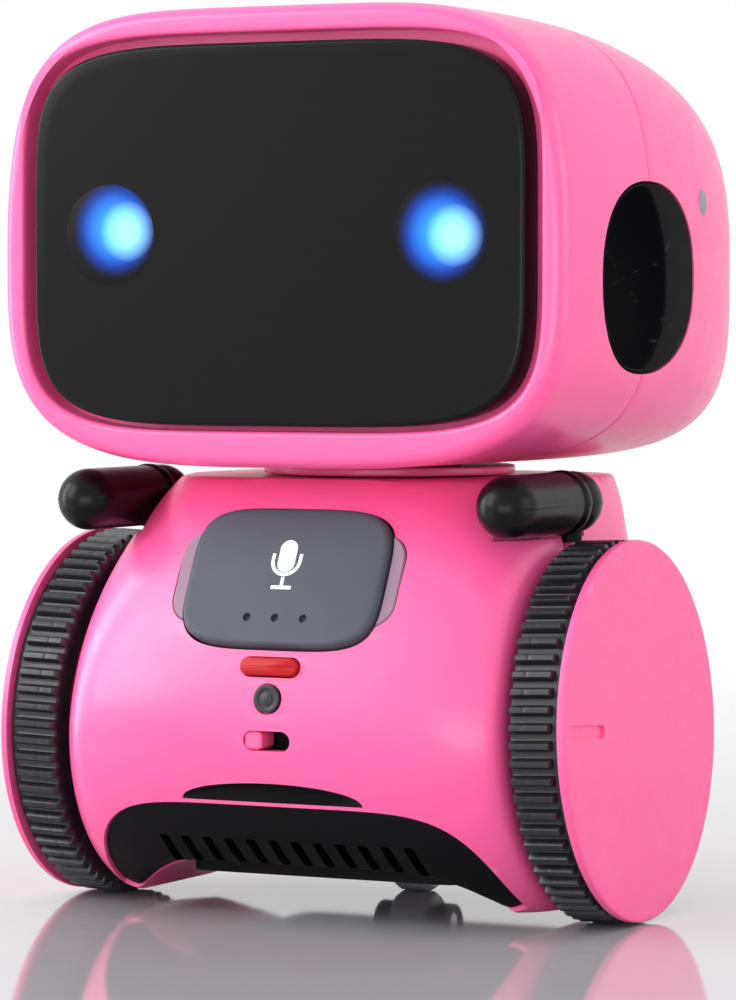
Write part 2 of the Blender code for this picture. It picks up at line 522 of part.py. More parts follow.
# ---------------------------------------------------------------- wheels, drive and arms
def gear(name, count, tip, root, low, high, bore, parent):
    """A simple toothed wheel, two points a tooth, with a bore."""
    a = np.arange(2 * count) * pi / count
    r = np.where(np.arange(2 * count) % 2 == 0, tip, root)
    item = plate(name, np.stack([r * np.cos(a), r * np.sin(a)], 1), low, high, "white", parent=parent)
    return cut(item, rod(name + " bore", bore, low - 1 * MM, high + 1 * MM, steps=16, parent=parent))


def hoop(radius, height, count):
    """A ring of points; the radius may change from point to point."""
    a = np.arange(count) * 2 * pi / count
    return np.stack([radius * np.cos(a), radius * np.sin(a), np.full(count, height)], 1)


for side, k in SIDES:
    hub = empty("wheel pivot " + side, (k * WHEEL_X, 0, WHEEL_Z), (0, k * (pi / 2 - CAMBER), 0))
    rim_back, plug_r = TYRE_OUT + 0.1 * MM, TYRE_BORE_R - GAP
    disc = lathe("wheel_disc_" + side, [
        (0, DISC_OUT), (DISC_R - 0.4 * MM, DISC_OUT), (DISC_R, DISC_OUT - 0.4 * MM), (DISC_R, rim_back),
        (plug_r, rim_back), (plug_r, -1.9 * MM), (plug_r - 1.7 * MM, -1.9 * MM),
        (plug_r - 1.7 * MM, 2.4 * MM), (4.0 * MM, 2.4 * MM), (4.0 * MM, 0.4 * MM), (0, 0.4 * MM)],
        "pink", 36, parent=hub)
    cut(disc, plate("disc mark " + side, rounded(1.5 * MM, 9.6 * MM, 0.7 * MM), -0.4 * MM, 3 * MM, parent=hub,
                    spot=(-k * 1.1 * MM, -15.4 * MM, DISC_OUT), turn=(0, 0, -k * MARK_TURN)))
    ribs = np.where(np.arange(2 * TYRE_RIBS) % 2 == 0, TYRE_R, TYRE_VALLEY_R)
    loft("tyre_" + side, [hoop(r, h, 2 * TYRE_RIBS) for r, h in (
        (TYRE_BORE_R, TYRE_IN), (TYRE_VALLEY_R - 0.3 * MM, TYRE_IN), (TYRE_VALLEY_R, TYRE_IN + 0.3 * MM),
        (ribs, TYRE_IN + 0.5 * MM), (ribs, RIB_OUT), (TYRE_VALLEY_R, RIB_OUT + 0.2 * MM),
        (TYRE_VALLEY_R, TYRE_OUT), (TYRE_BORE_R, TYRE_OUT))], "rubber", closed=True, parent=hub)
    lathe("axle_" + side, [(0, 0.1 * MM), (1.5 * MM, 0.1 * MM), (1.5 * MM, -3.4 * MM), (2.2 * MM, -3.4 * MM),
                           (2.2 * MM, -5.2 * MM), (1.2 * MM, -5.2 * MM), (1.2 * MM, -11.4 * MM),
                           (0, -11.4 * MM)], "steel", 20, parent=hub)
    gear("drive_gear_" + side, GEAR_TEETH, GEAR_TIP, GEAR_TIP - 1 * MM, -8.6 * MM, -6.6 * MM, 1.4 * MM, hub)

    # motor beside the axle, its pinion driving the gear
    motor = empty("motor pivot " + side, (-k * PINION_UP, PINION_BACK, 0), parent=hub)
    gear("pinion_" + side, PINION_TEETH, PINION_TIP, PINION_TIP - 0.9 * MM, -8.8 * MM, -6.4 * MM, 0.75 * MM,
         motor)
    lathe("motor_" + side, [(0, -6.3 * MM), (0.6 * MM, -6.3 * MM), (0.6 * MM, -9.2 * MM),
                            (4.9 * MM, -9.2 * MM), (4.9 * MM, -21.5 * MM), (0, -21.5 * MM)],
          "steel", 20, parent=motor)

    # arm: a capsule on an upright shoulder pin
    joint = empty("arm pivot " + side, (k * ARM_X, ARM_Y, ARM_Z))
    quarter = [pi / 2 * i / 4 for i in range(5)]
    tip = [(ARM_R * sin(q), ARM_LONG + ARM_R * cos(q)) for q in quarter]
    band = [(ARM_R, 2.6 * MM), (ARM_R + 0.2 * MM, 2.3 * MM), (ARM_R + 0.2 * MM, 0.9 * MM), (ARM_R, 0.6 * MM)]
    heel = [(ARM_R * cos(q), -ARM_R * sin(q)) for q in quarter]
    arm = lathe("arm_" + side, tip + band + heel, "black gloss", 16, parent=joint, turn=(pi / 2, 0, 0))
    cut(arm, rod("arm bore " + side, 1.45 * MM, -6 * MM, 2.0 * MM, steps=20, parent=joint))
    rod("shoulder_pin_" + side, 1.2 * MM, -4.6 * MM, 1.6 * MM, "black satin", 20, parent=joint)

for item in [*toy.objects, *cutters.objects]:               # the frame's origin goes under the middle
    if item.parent is None:
        item.location.y -= CENTRE_Y
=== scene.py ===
"""Desktop talking robot toy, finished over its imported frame.

Every shape is worked out in the toy's own design frame: wheel line at y = 0, floor at z = 0, the robot
facing -Y with its own left hand at +X.  make() moves finished shapes into the frame of the CAD model.
"""
import json
from math import cos, pi, radians, sin, tan

import bmesh
import bpy
import numpy as np
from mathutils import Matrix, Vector


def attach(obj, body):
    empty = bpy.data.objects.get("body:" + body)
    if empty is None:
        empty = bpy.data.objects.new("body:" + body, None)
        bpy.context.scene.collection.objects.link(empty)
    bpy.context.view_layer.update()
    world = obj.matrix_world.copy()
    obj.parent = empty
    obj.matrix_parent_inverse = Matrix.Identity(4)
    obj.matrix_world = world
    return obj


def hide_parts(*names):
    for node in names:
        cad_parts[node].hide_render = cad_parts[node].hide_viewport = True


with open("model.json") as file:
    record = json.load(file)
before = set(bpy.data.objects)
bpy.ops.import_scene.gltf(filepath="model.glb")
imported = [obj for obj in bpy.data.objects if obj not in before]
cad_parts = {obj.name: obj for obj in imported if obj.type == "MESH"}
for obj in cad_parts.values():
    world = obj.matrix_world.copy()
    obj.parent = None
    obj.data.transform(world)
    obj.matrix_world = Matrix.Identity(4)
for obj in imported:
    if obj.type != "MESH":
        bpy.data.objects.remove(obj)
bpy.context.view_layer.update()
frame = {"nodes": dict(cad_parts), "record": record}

bl_info = {
    "name": "Talking robot toy",
    "version": (1, 0, 0),
    "blender": (4, 5, 0),
    "location": "View3D > Sidebar > Talking robot",
    "description": "Builds the visible surfaces of a desktop talking robot toy over its frame",
    "category": "Add Mesh",
}

MM = 0.001
JOINTS = {joint["name"]: joint for joint in frame["record"]["behaviour"]["joints"]}
WHEEL_Y = JOINTS["wheel_left_spin"]["pos_m"][1]      # wheel line in the frame of the CAD model
SIDES = (("left", 1), ("right", -1))

# wheels, heights along the wheel's own outward axis
WHEEL_X, WHEEL_Z = 32.0 * MM, 22.0 * MM
CAMBER = radians(2.1)
TYRE_R, TYRE_ROOT, TYRE_BORE = 21.93 * MM, 20.95 * MM, 18.0 * MM
TYRE_IN, TYRE_OUT, RIB_OUT = -2.8 * MM, 3.3 * MM, 2.5 * MM
DISC_R, DISC_OUT = 21.9 * MM, 4.24 * MM
MARK_AHEAD, MARK_UP = 15.4 * MM, 1.1 * MM               # groove in each disc, pointing at the axle

# body
BODY_HALF, FLANGE_R = 28.1 * MM, 17.7 * MM
BELLY_R, BACK_R = 23.6 * MM, 30.4 * MM
BODY_TOP, BELLY_Z, FOOT_DROP = 50.8 * MM, 6.2 * MM, 4.7 * MM
BODY_SEAM = 1.3 * MM
WALL = 2.0 * MM

# head
HEAD_FRONT, HEAD_BACK, HEAD_SEAM = -21.5 * MM, 39.8 * MM, 0.0
HEAD_HALF, HEAD_MID, HEAD_UP, HEAD_DOWN = 37.8 * MM, 77.2 * MM, 27.7 * MM, 24.9 * MM
KEYSTONE = 0.11
PANEL_HALF, PANEL_Z, PANEL_POWER = (31.4 * MM, 21.8 * MM), 78.9 * MM, 5.0
PANEL_FRONT, PANEL_THICK = -22.0 * MM, 3.6 * MM
FACE_HALF, FACE_Z = (33.15 * MM, 22.7 * MM), 79.2 * MM
EYE_X, EYE_Z, EYE_R = 21.2 * MM, 79.0 * MM, 5.8 * MM
EYE_GLOW = {"left": (0.2 * MM, -0.1 * MM), "right": (0.8 * MM, 0.7 * MM)}     # lit spot inside each lens
EAR_Y, EAR_Z = -0.3 * MM, 74.0 * MM
EAR_HALF, EAR_POWER = (12.3 * MM, 10.9 * MM), 2.3
SCOOP_R, SCOOP_OUT, SCOOP_FORE = 14.2 * MM, 46.0 * MM, 7.4 * MM
DOT_SPOT = (37.1 * MM, 15.4 * MM, 82.8 * MM)
NECK_Y, NECK_R = 8.0 * MM, 8.5 * MM

# arms
ARM_X, ARM_Y, ARM_Z = 27.1 * MM, 0.6 * MM, 48.2 * MM
ARM_R, ARM_LONG = 3.6 * MM, 17.4 * MM

# front controls
BUTTON_SPOT, BUTTON_TILT = (0.0, -18.2 * MM, 39.6 * MM), radians(26.5)
BUTTON_HALF, BUTTON_POWER = (12.5 * MM, 8.6 * MM), 4.4
LAMP_SPOT, LAMP_TILT = (0.0, -22.9 * MM, 29.85 * MM), radians(11.8)
MARK_SPOT, MARK_TILT = (0.0, -23.4 * MM, 26.2 * MM), radians(6.3)
SLIDE_SPOT = (0.0, -23.6 * MM, 21.4 * MM)
SLIT_Z = 14.25 * MM


# ------------------------------------------------------------------ sizes and colours
class RobotSizes(bpy.types.PropertyGroup):
    """Sizes a user may change."""

    ribs: bpy.props.IntProperty(name="Tyre ribs", description="Number of bars round each tyre",
                                default=68, min=12, max=120)
    rib_notch: bpy.props.FloatProperty(name="Rib notch", description="Depth of the notch across each bar",
                                       default=0.05 * MM, unit="LENGTH")
    rim_round: bpy.props.FloatProperty(name="Face rim rounding", description="Radius of the rounded face rim",
                                       default=1.4 * MM, unit="LENGTH")
    seam: bpy.props.FloatProperty(name="Shell seam", description="Width of the line between two shells",
                                  default=0.12 * MM, unit="LENGTH")


class RobotColours(bpy.types.PropertyGroup):
    """Colours and finishes a user may change."""

    shell: bpy.props.FloatVectorProperty(name="Shell", description="Colour of the moulded shells",
                                         subtype="COLOR", default=(0.960, 0.105, 0.330), min=0, max=1)
    panel: bpy.props.FloatVectorProperty(name="Face panel", description="Colour of the smoked face window",
                                         subtype="COLOR", default=(0.0045, 0.0045, 0.0047), min=0, max=1)
    dark: bpy.props.FloatVectorProperty(name="Black parts", description="Colour of arms, ears and skirt",
                                        subtype="COLOR", default=(0.0025, 0.0022, 0.0028), min=0, max=1)
    rubber: bpy.props.FloatVectorProperty(name="Tyre", description="Colour of the tyre rubber",
                                          subtype="COLOR", default=(0.010, 0.011, 0.015), min=0, max=1)
    key: bpy.props.FloatVectorProperty(name="Talk key", description="Colour of the microphone key",
                                       subtype="COLOR", default=(0.060, 0.067, 0.088), min=0, max=1)
    glow: bpy.props.FloatVectorProperty(name="Eye light", description="Colour of the eyes' outer glow",
                                        subtype="COLOR", default=(0.010, 0.120, 1.0), min=0, max=1)
    core: bpy.props.FloatVectorProperty(name="Eye core", description="Colour of the eyes' bright middle",
                                        subtype="COLOR", default=(0.45, 0.95, 1.0), min=0, max=1)
    lamp: bpy.props.FloatVectorProperty(name="Record lamp", description="Colour of the record lamp",
                                        subtype="COLOR", default=(0.42, 0.005, 0.010), min=0, max=1)
    halo: bpy.props.FloatVectorProperty(name="Light guide", description="Colour of the milky light guide",
                                        subtype="COLOR", default=(0.27, 0.155, 0.23), min=0, max=1)


# ------------------------------------------------------------------ mesh making
def quads(rows, columns, wrap_rows=False, wrap_columns=True, start=0):
    """Face indices of a grid: each cell joins (i, j), (i, j+1), (i+1, j+1), (i+1, j)."""
    i = np.arange(rows if wrap_rows else rows - 1)[:, None]
    j = np.arange(columns if wrap_columns else columns - 1)[None, :]
    i2, j2 = (i + 1) % rows, (j + 1) % columns
    cell = np.stack([i * columns + j, i * columns + j2, i2 * columns + j2, i2 * columns + j], -1)
    return start + cell.reshape(-1, 4)


def raw(name, points, faces, weld=2e-7):
    """A closed mesh object from arrays: doubles merged, normals outward."""
    mesh = bpy.data.meshes.new(name)
    mesh.from_pydata(np.asarray(points).reshape(-1, 3).tolist(), [], [list(map(int, f)) for f in faces])
    shape = bmesh.new()
    shape.from_mesh(mesh)
    bmesh.ops.remove_doubles(shape, verts=shape.verts, dist=weld)
    bmesh.ops.dissolve_degenerate(shape, dist=1e-8, edges=shape.edges)
    bmesh.ops.recalc_face_normals(shape, faces=shape.faces)
    shape.to_mesh(mesh)
    shape.free()
    item = bpy.data.objects.new(name, mesh)
    bpy.context.scene.collection.objects.link(item)
    return item


def skin(name, rings, closed=False):
    """Loft: a stack of rings joined ring to ring; closed joins the last ring to the first,
    otherwise each end is capped by one flat face or closes at its pole."""
    grid = np.stack([np.asarray(r, float) for r in rings])
    rows, columns = grid.shape[:2]
    faces = quads(rows, columns, closed).tolist()
    if not closed:
        for row, flip in ((0, -1), (rows - 1, 1)):
            if np.ptp(grid[row], axis=0).max() > 1e-6:
                faces.append((row * columns + np.arange(columns))[::flip].tolist())
    return raw(name, grid, faces)


def turned(profile, steps=96, turn=None):
    """Rings of a turned shape: (r cos a, r sin a, h) for each profile point, a round the whole circle."""
    a = np.arange(steps) * 2 * pi / steps
    profile = np.asarray(profile, float)
    grid = np.stack([profile[:, :1] * np.cos(a), profile[:, :1] * np.sin(a),
                     np.repeat(profile[:, 1:], steps, 1)], -1)
    return grid if turn is None else grid @ turn.T


def soft(points, radius, steps=4, closed=False):
    """Rounds the corners of a polyline: each corner is swapped for a quadratic curve that starts and
    ends radius away from it, or less where the neighbouring corner is near."""
    points = np.asarray(points, float)
    out = []
    last = len(points) - 1
    for i, corner in enumerate(points):
        if not closed and i in (0, last):
            out.append(corner)
            continue
        before, after = points[i - 1] - corner, points[(i + 1) % len(points)] - corner
        size = [max(np.hypot(*v), 1e-9) for v in (before, after)]
        a, b = (corner + v / s * min(radius, 0.48 * s) for v, s in zip((before, after), size))
        for t in np.linspace(0, 1, steps + 1):
            out.append((1 - t) ** 2 * a + 2 * t * (1 - t) * corner + t * t * b)
    return np.array(out)


def oval(half, power, count=200, dense=20000):
    """Squared ellipse |x/a|^n + |z/b|^n = 1, its points evenly spaced along the outline."""
    a = np.linspace(0, 2 * pi, dense)
    x = half[0] * np.sign(np.cos(a)) * np.abs(np.cos(a)) ** (2 / power)
    z = half[1] * np.sign(np.sin(a)) * np.abs(np.sin(a)) ** (2 / power)
    run = np.concatenate([[0], np.cumsum(np.hypot(np.diff(x), np.diff(z)))])
    at = (np.arange(count) + 0.5) / count * run[-1]
    return np.stack([np.interp(at, run, x), np.interp(at, run, z)], 1)


def rounded(wide, high, corner, steps=8):
    """Outline of a rectangle whose corners are quarter circles."""
    out = []
    for cx, cz, start in ((1, 1, 0), (-1, 1, 90), (-1, -1, 180), (1, -1, 270)):
        a = np.radians(start + 90 * np.arange(steps + 1) / steps)
        out.append(np.stack([cx * (wide / 2 - corner) + corner * np.cos(a),
                             cz * (high / 2 - corner) + corner * np.sin(a)], 1))
    return np.concatenate(out)


def tilt(angle, spot):
    """Moves points: turned back about X by angle, then carried to spot."""
    c, s = cos(angle), sin(angle)
    turn = np.array([[1, 0, 0], [0, c, s], [0, -s, c]])
    return lambda p: np.asarray(p) @ turn.T + np.asarray(spot)


def slab(name, outline, layers, move=None):
    """Stack of one XZ outline along Y: each layer (inset, y) pulls the outline in along its own normal."""
    outline = np.asarray(outline, float)
    ahead, behind = np.roll(outline, -1, 0), np.roll(outline, 1, 0)
    along = ahead - behind
    along /= np.maximum(np.hypot(along[:, 0], along[:, 1])[:, None], 1e-12)
    inward = np.stack([-along[:, 1], along[:, 0]], 1)
    rings = []
    for inset, y in layers:
        flat = outline + inward * inset if inset < 1 else outline * 0.0
        rings.append(np.stack([flat[:, 0], np.full(len(flat), y), flat[:, 1]], 1))
    rings = np.stack(rings)
    return skin(name, move(rings) if move else rings)


def crown(half, power, thick, edge, swell, count=160, rows=14):
    """Rings of a domed pad: squared-ellipse outline, quarter-round edge, then y = -swell (1 - k^2) over
    the front where k runs from the edge to the middle; flat back."""
    base = oval(half, power, count)
    rings = [(0.0, thick), (0.6, thick), (1.0, thick)]
    out = [np.stack([base[:, 0] * k, np.full(count, y), base[:, 1] * k], 1) for k, y in rings]
    for q in np.linspace(0, pi / 2, 6):
        inset = edge * (1 - cos(q))
        y = edge * (1 - sin(q))
        k = np.array([(half[0] - inset) / half[0], (half[1] - inset) / half[1]])
        out.append(np.stack([base[:, 0] * k[0], np.full(count, y), base[:, 1] * k[1]], 1))
    for k in np.linspace(1, 0, rows)[1:]:
        scale = np.array([(half[0] - edge) / half[0], (half[1] - edge) / half[1]]) * k
        out.append(np.stack([base[:, 0] * scale[0], np.full(count, -swell * (1 - k * k)),
                             base[:, 1] * scale[1]], 1))
    return np.stack(out)


def carve(item, *steps):
    """Exact Booleans in order; each step is a tool to cut away, or (tool, operation)."""
    tools = []
    for step in steps:
        tool, operation = step if isinstance(step, tuple) else (step, "DIFFERENCE")
        change = item.modifiers.new("carve", "BOOLEAN")
        change.object, change.operation, change.solver = tool, operation, "EXACT"
        tools.append(tool)
    bpy.context.view_layer.update()
    graph = bpy.context.evaluated_depsgraph_get()
    mesh = bpy.data.meshes.new_from_object(item.evaluated_get(graph))
    old = item.data
    item.modifiers.clear()
    item.data = mesh
    bpy.data.meshes.remove(old)
    return item


def drop(*tools):
    """Removes used tools."""
    for tool in tools:
        bpy.data.objects.remove(tool, do_unlink=True)


def make(item, material, body, nodes=(), sharp=32.0):
    """Finishes a piece: into the CAD frame, smooth shading, finish, body and replaced nodes."""
    mesh = item.data
    count = len(mesh.vertices)
    points = np.empty(count * 3, np.float32)
    mesh.vertices.foreach_get("co", points)
    points = points.reshape(-1, 3)
    points[:, 1] += WHEEL_Y
    mesh.vertices.foreach_set("co", points.ravel())
    mesh.materials.clear()
    mesh.materials.append(material)
    mesh.polygons.foreach_set("material_index", np.zeros(len(mesh.polygons), np.int32))
    mesh.polygons.foreach_set("use_smooth", np.ones(len(mesh.polygons), bool))
    mesh.set_sharp_from_angle(angle=radians(sharp))
    mesh.update()
    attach(item, body)
    if nodes:
        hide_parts(*nodes)
    return item


# ------------------------------------------------------------------ finishes
def nodes_of(name):
    mat = bpy.data.materials.new(name)
    mat.use_nodes = True
    tree = mat.node_tree
    return mat, tree.nodes, tree.links, tree.nodes["Principled BSDF"]


def noise(nodes, links, coords, scale, detail=3.0, rough=0.5):
    """Noise on Object coordinates at a scale in waves per metre."""
    node = nodes.new("ShaderNodeTexNoise")
    node.inputs["Scale"].default_value = scale
    node.inputs["Detail"].default_value = detail
    node.inputs["Roughness"].default_value = rough
    links.new(coords.outputs["Object"], node.inputs["Vector"])
    return node


def ranged(nodes, links, source, low, high, to_low, to_high):
    """Maps a value from one range to another, held at the ends."""
    node = nodes.new("ShaderNodeMapRange")
    for key, value in (("From Min", low), ("From Max", high), ("To Min", to_low), ("To Max", to_high)):
        node.inputs[key].default_value = value
    links.new(source, node.inputs["Value"])
    return node.outputs["Result"]


def blend_colour(nodes, links, factor, a, b):
    """Mix of two colours or links by a factor."""
    node = nodes.new("ShaderNodeMix")
    node.data_type = "RGBA"
    for socket, value in ((node.inputs[6], a), (node.inputs[7], b)):
        if isinstance(value, bpy.types.NodeSocket):
            links.new(value, socket)
        else:
            socket.default_value = (*value, 1.0)
    links.new(factor, node.inputs[0])
    return node.outputs[2]


def moulded(name, colour, rough, coat=0.0, grain=2600.0, depth=0.006, mottle=0.05, wear=0.10,
            spread=0.06, body_light=0.0, sheen=0.0, specular=0.5):
    """Moulded plastic or rubber: slow colour drift, patchy roughness, fine spark-eroded grain in the
    normal, and paler worn edges where the surface is sharply convex."""
    mat, nodes, links, shader = nodes_of(name)
    coords = nodes.new("ShaderNodeTexCoord")
    drift = noise(nodes, links, coords, 55.0, 2.0)
    patch = noise(nodes, links, coords, 340.0, 4.0, 0.6)
    fine = noise(nodes, links, coords, grain, 2.0, 0.55)
    colour = np.array(colour[:3])
    slow = blend_colour(nodes, links, ranged(nodes, links, drift.outputs["Fac"], 0.3, 0.7, 0.0, 1.0),
                        tuple(colour * (1 - mottle)), tuple(np.minimum(colour * (1 + mottle), 1.0)))
    geometry = nodes.new("ShaderNodeNewGeometry")
    edge = ranged(nodes, links, geometry.outputs["Pointiness"], 0.53, 0.62, 0.0, wear)
    pale = tuple(np.minimum(colour * 0.6 + 0.35, 1.0))
    worn = blend_colour(nodes, links, edge, slow, pale)
    links.new(worn, shader.inputs["Base Color"])
    links.new(ranged(nodes, links, patch.outputs["Fac"], 0.3, 0.7, rough - spread, rough + spread),
              shader.inputs["Roughness"])
    bump = nodes.new("ShaderNodeBump")
    bump.inputs["Strength"].default_value = 0.35
    bump.inputs["Distance"].default_value = depth * MM
    links.new(fine.outputs["Fac"], bump.inputs["Height"])
    links.new(bump.outputs["Normal"], shader.inputs["Normal"])
    shader.inputs["Coat Weight"].default_value = coat
    shader.inputs["Coat Roughness"].default_value = 0.18
    shader.inputs["Specular IOR Level"].default_value = specular
    if body_light:
        shader.inputs["Subsurface Weight"].default_value = body_light
        shader.inputs["Subsurface Radius"].default_value = (1.0, 0.35, 0.45)
        shader.inputs["Subsurface Scale"].default_value = 0.8 * MM
    if sheen:
        shader.inputs["Sheen Weight"].default_value = sheen
    return mat


def metal(name, colour, rough):
    """Plated metal: fine scratches along one way and patchy roughness."""
    mat, nodes, links, shader = nodes_of(name)
    coords = nodes.new("ShaderNodeTexCoord")
    stretch = nodes.new("ShaderNodeMapping")
    stretch.inputs["Scale"].default_value = (1.0, 14.0, 14.0)
    links.new(coords.outputs["Object"], stretch.inputs["Vector"])
    lines = nodes.new("ShaderNodeTexNoise")
    lines.inputs["Scale"].default_value = 420.0
    links.new(stretch.outputs["Vector"], lines.inputs["Vector"])
    links.new(ranged(nodes, links, lines.outputs["Fac"], 0.3, 0.7, rough - 0.1, rough + 0.12),
              shader.inputs["Roughness"])
    links.new(blend_colour(nodes, links, lines.outputs["Fac"], tuple(np.array(colour) * 0.88), colour),
              shader.inputs["Base Color"])
    shader.inputs["Metallic"].default_value = 1.0
    return mat


def circuit(name):
    """Circuit board: dark solder mask crossed by paler tracks and sprinkled with bright pads."""
    mat, nodes, links, shader = nodes_of(name)
    coords = nodes.new("ShaderNodeTexCoord")
    brick = nodes.new("ShaderNodeTexBrick")
    brick.inputs["Scale"].default_value = 160.0
    brick.inputs["Mortar Size"].default_value = 0.03
    brick.inputs["Color1"].default_value = (0.010, 0.120, 0.045, 1)
    brick.inputs["Color2"].default_value = (0.012, 0.150, 0.055, 1)
    brick.inputs["Mortar"].default_value = (0.030, 0.260, 0.110, 1)
    turn = nodes.new("ShaderNodeMapping")
    turn.inputs["Rotation"].default_value = (pi / 2, 0, 0)
    links.new(coords.outputs["Object"], turn.inputs["Vector"])
    links.new(turn.outputs["Vector"], brick.inputs["Vector"])
    dots = nodes.new("ShaderNodeTexVoronoi")
    dots.inputs["Scale"].default_value = 330.0
    links.new(coords.outputs["Object"], dots.inputs["Vector"])
    pad = ranged(nodes, links, dots.outputs["Distance"], 0.16, 0.20, 1.0, 0.0)
    links.new(blend_colour(nodes, links, pad, brick.outputs["Color"], (0.55, 0.50, 0.36)),
              shader.inputs["Base Color"])
    shader.inputs["Roughness"].default_value = 0.35
    return mat


def smoked(name, colour, eyes=None, glow=None, core=None):
    """Smoked window: near-black gloss with a dusting in its roughness. With eyes it also lights up:
    the light is white-blue inside, falls to deep blue and dies away before the lens edge."""
    mat, nodes, links, shader = nodes_of(name)
    coords = nodes.new("ShaderNodeTexCoord")
    dust = noise(nodes, links, coords, 900.0, 5.0, 0.7)
    links.new(ranged(nodes, links, dust.outputs["Fac"], 0.35, 0.75, 0.22, 0.28), shader.inputs["Roughness"])
    slow = noise(nodes, links, coords, 60.0)
    links.new(blend_colour(nodes, links, slow.outputs["Fac"], tuple(np.array(colour[:3]) * 0.94), colour[:3]),
              shader.inputs["Base Color"])
    shader.inputs["Specular IOR Level"].default_value = 0.13
    if eyes is None:
        return mat

    def spread_from(centre, reach):
        """Distance from a point in the plane of the face, as a share of reach."""
        move = nodes.new("ShaderNodeMapping")
        move.inputs["Location"].default_value = (-centre[0] / reach, 0.0, -centre[1] / reach)
        move.inputs["Scale"].default_value = (1 / reach, 0.0, 1 / reach)
        links.new(coords.outputs["Object"], move.inputs["Vector"])
        size = nodes.new("ShaderNodeVectorMath")
        size.operation = "LENGTH"
        links.new(move.outputs["Vector"], size.inputs[0])
        return size.outputs["Value"]

    ramp = nodes.new("ShaderNodeValToRGB")
    stops = ramp.color_ramp.elements
    stops[0].position, stops[0].color = 0.0, (0.06, 0.60, 1.0, 1)
    stops[1].position, stops[1].color = 1.0, (0, 0, 0, 1)
    for at, shade in ((0.36, (0.04, 0.42, 1.0)), (0.58, (0.02, 0.20, 0.95)),
                      (0.78, tuple(c * 0.40 for c in glow[:3])), (0.92, tuple(c * 0.07 for c in glow[:3]))):
        stop = stops.new(at)
        stop.color = (*shade, 1)
    links.new(spread_from(eyes, EYE_R * 0.98), ramp.inputs["Fac"])
    bright = nodes.new("ShaderNodeValToRGB")
    spot = bright.color_ramp.elements
    spot[0].position, spot[0].color = 0.30, (*core[:3], 1)
    spot[1].position, spot[1].color = 1.0, (0, 0, 0, 1)
    links.new(spread_from((eyes[0] + 1.5 * MM, eyes[1] - 0.3 * MM), 3.6 * MM), bright.inputs["Fac"])
    total = nodes.new("ShaderNodeMix")
    total.data_type, total.blend_type = "RGBA", "ADD"
    total.inputs[0].default_value = 1.0
    links.new(ramp.outputs["Color"], total.inputs[6])
    links.new(bright.outputs["Color"], total.inputs[7])
    links.new(total.outputs[2], shader.inputs["Emission Color"])
    shader.inputs["Emission Strength"].default_value = 1.0
    return mat


FINISHES = {}


def finish(kind):
    """Each finish is made once, on first use."""
    if kind in FINISHES:
        return FINISHES[kind]
    colours = bpy.context.scene.robot_colours
    makers = {
        "shell": lambda: moulded("shell pink", colours.shell, 0.36, coat=0.22, mottle=0.02, wear=0.16,
                                 body_light=0.12),
        "disc": lambda: moulded("disc pink", colours.shell, 0.40, coat=0.12, mottle=0.02, wear=0.16,
                                body_light=0.10),
        "panel": lambda: smoked("smoked window", colours.panel),
        "gloss black": lambda: moulded("gloss black", colours.dark, 0.30, depth=0.003, wear=0.02, spread=0.04,
                                       specular=0.17),
        "ear black": lambda: moulded("ear black", colours.dark, 0.34, depth=0.003, wear=0.03, spread=0.04,
                                     specular=0.015),
        "satin black": lambda: moulded("satin black", colours.dark, 0.50, grain=3800.0, depth=0.012,
                                       wear=0.01, specular=0.12),
        "rubber": lambda: moulded("tyre rubber", colours.rubber, 0.36, grain=3000.0, depth=0.012, wear=0.08,
                                  spread=0.07, mottle=0.12, specular=0.5),
        "key": lambda: moulded("key grey", colours.key, 0.50, grain=4200.0, depth=0.02, wear=0.02,
                               spread=0.05, mottle=0.08, specular=0.30),
        "halo": lambda: moulded("milky guide", colours.halo, 0.32, body_light=0.3, wear=0.05, specular=0.4),
        "lamp": lambda: moulded("lamp red", colours.lamp, 0.35, depth=0.002, wear=0.02, specular=0.2),
        "print white": lambda: moulded("print white", (0.72, 0.80, 0.86), 0.45, wear=0.0),
        "print black": lambda: moulded("print black", (0.010, 0.008, 0.012), 0.42, wear=0.0),
        "grey": lambda: moulded("grey plastic", (0.28, 0.26, 0.29), 0.45),
        "nylon": lambda: moulded("white nylon", (0.74, 0.74, 0.71), 0.42, body_light=0.2),
        "cell": lambda: moulded("cell wrap", (0.055, 0.19, 0.09), 0.30, coat=0.3),
        # painted shade: near-black colour that stands in for the shade inside a hollow
        "hole": lambda: moulded("painted hollow shade", (0.004, 0.003, 0.004), 0.8, wear=0.0),
        "steel": lambda: metal("plated steel", (0.60, 0.60, 0.62), 0.32),
        "board": lambda: circuit("circuit board"),
    }
    FINISHES[kind] = makers[kind]()
    return FINISHES[kind]


# ------------------------------------------------------------------ shared shapes
def head_ring(y, inset=0.0, count=200):
    """Head outline at depth y. With t the share of the way back, the half width is
    W (1 - (1 - t)^4 / 20) (1 - t^5.6)^(1/5.6), the height above the middle falls as (1 - t^2.94)^(1/2.94)
    and below it as (1 - t^10)^(1/10). Across it is a squared ellipse, of power 4.9 above and 3.6 to 4.3
    below, drawn in towards the top by the square of the height."""
    back = HEAD_BACK - inset
    t = min(max((y - HEAD_FRONT) / (back - HEAD_FRONT), 0.0), 1.0)
    wide, up, down = head_size(t)
    upper, lower = (oval((36.0, 26.4), power, count) / (36.0, 26.4) for power in (4.9, 3.6 + 0.7 * t))
    unit = np.where(np.arange(count)[:, None] < count // 2, upper, lower)
    tall = np.where(unit[:, 1] > 0, up, down) - inset
    lean = 1 - KEYSTONE * np.maximum(unit[:, 1], 0) ** 2
    return np.stack([np.maximum(wide - inset, 0) * unit[:, 0] * lean, np.full(count, y),
                     HEAD_MID + np.maximum(tall, 0) * unit[:, 1]], 1)


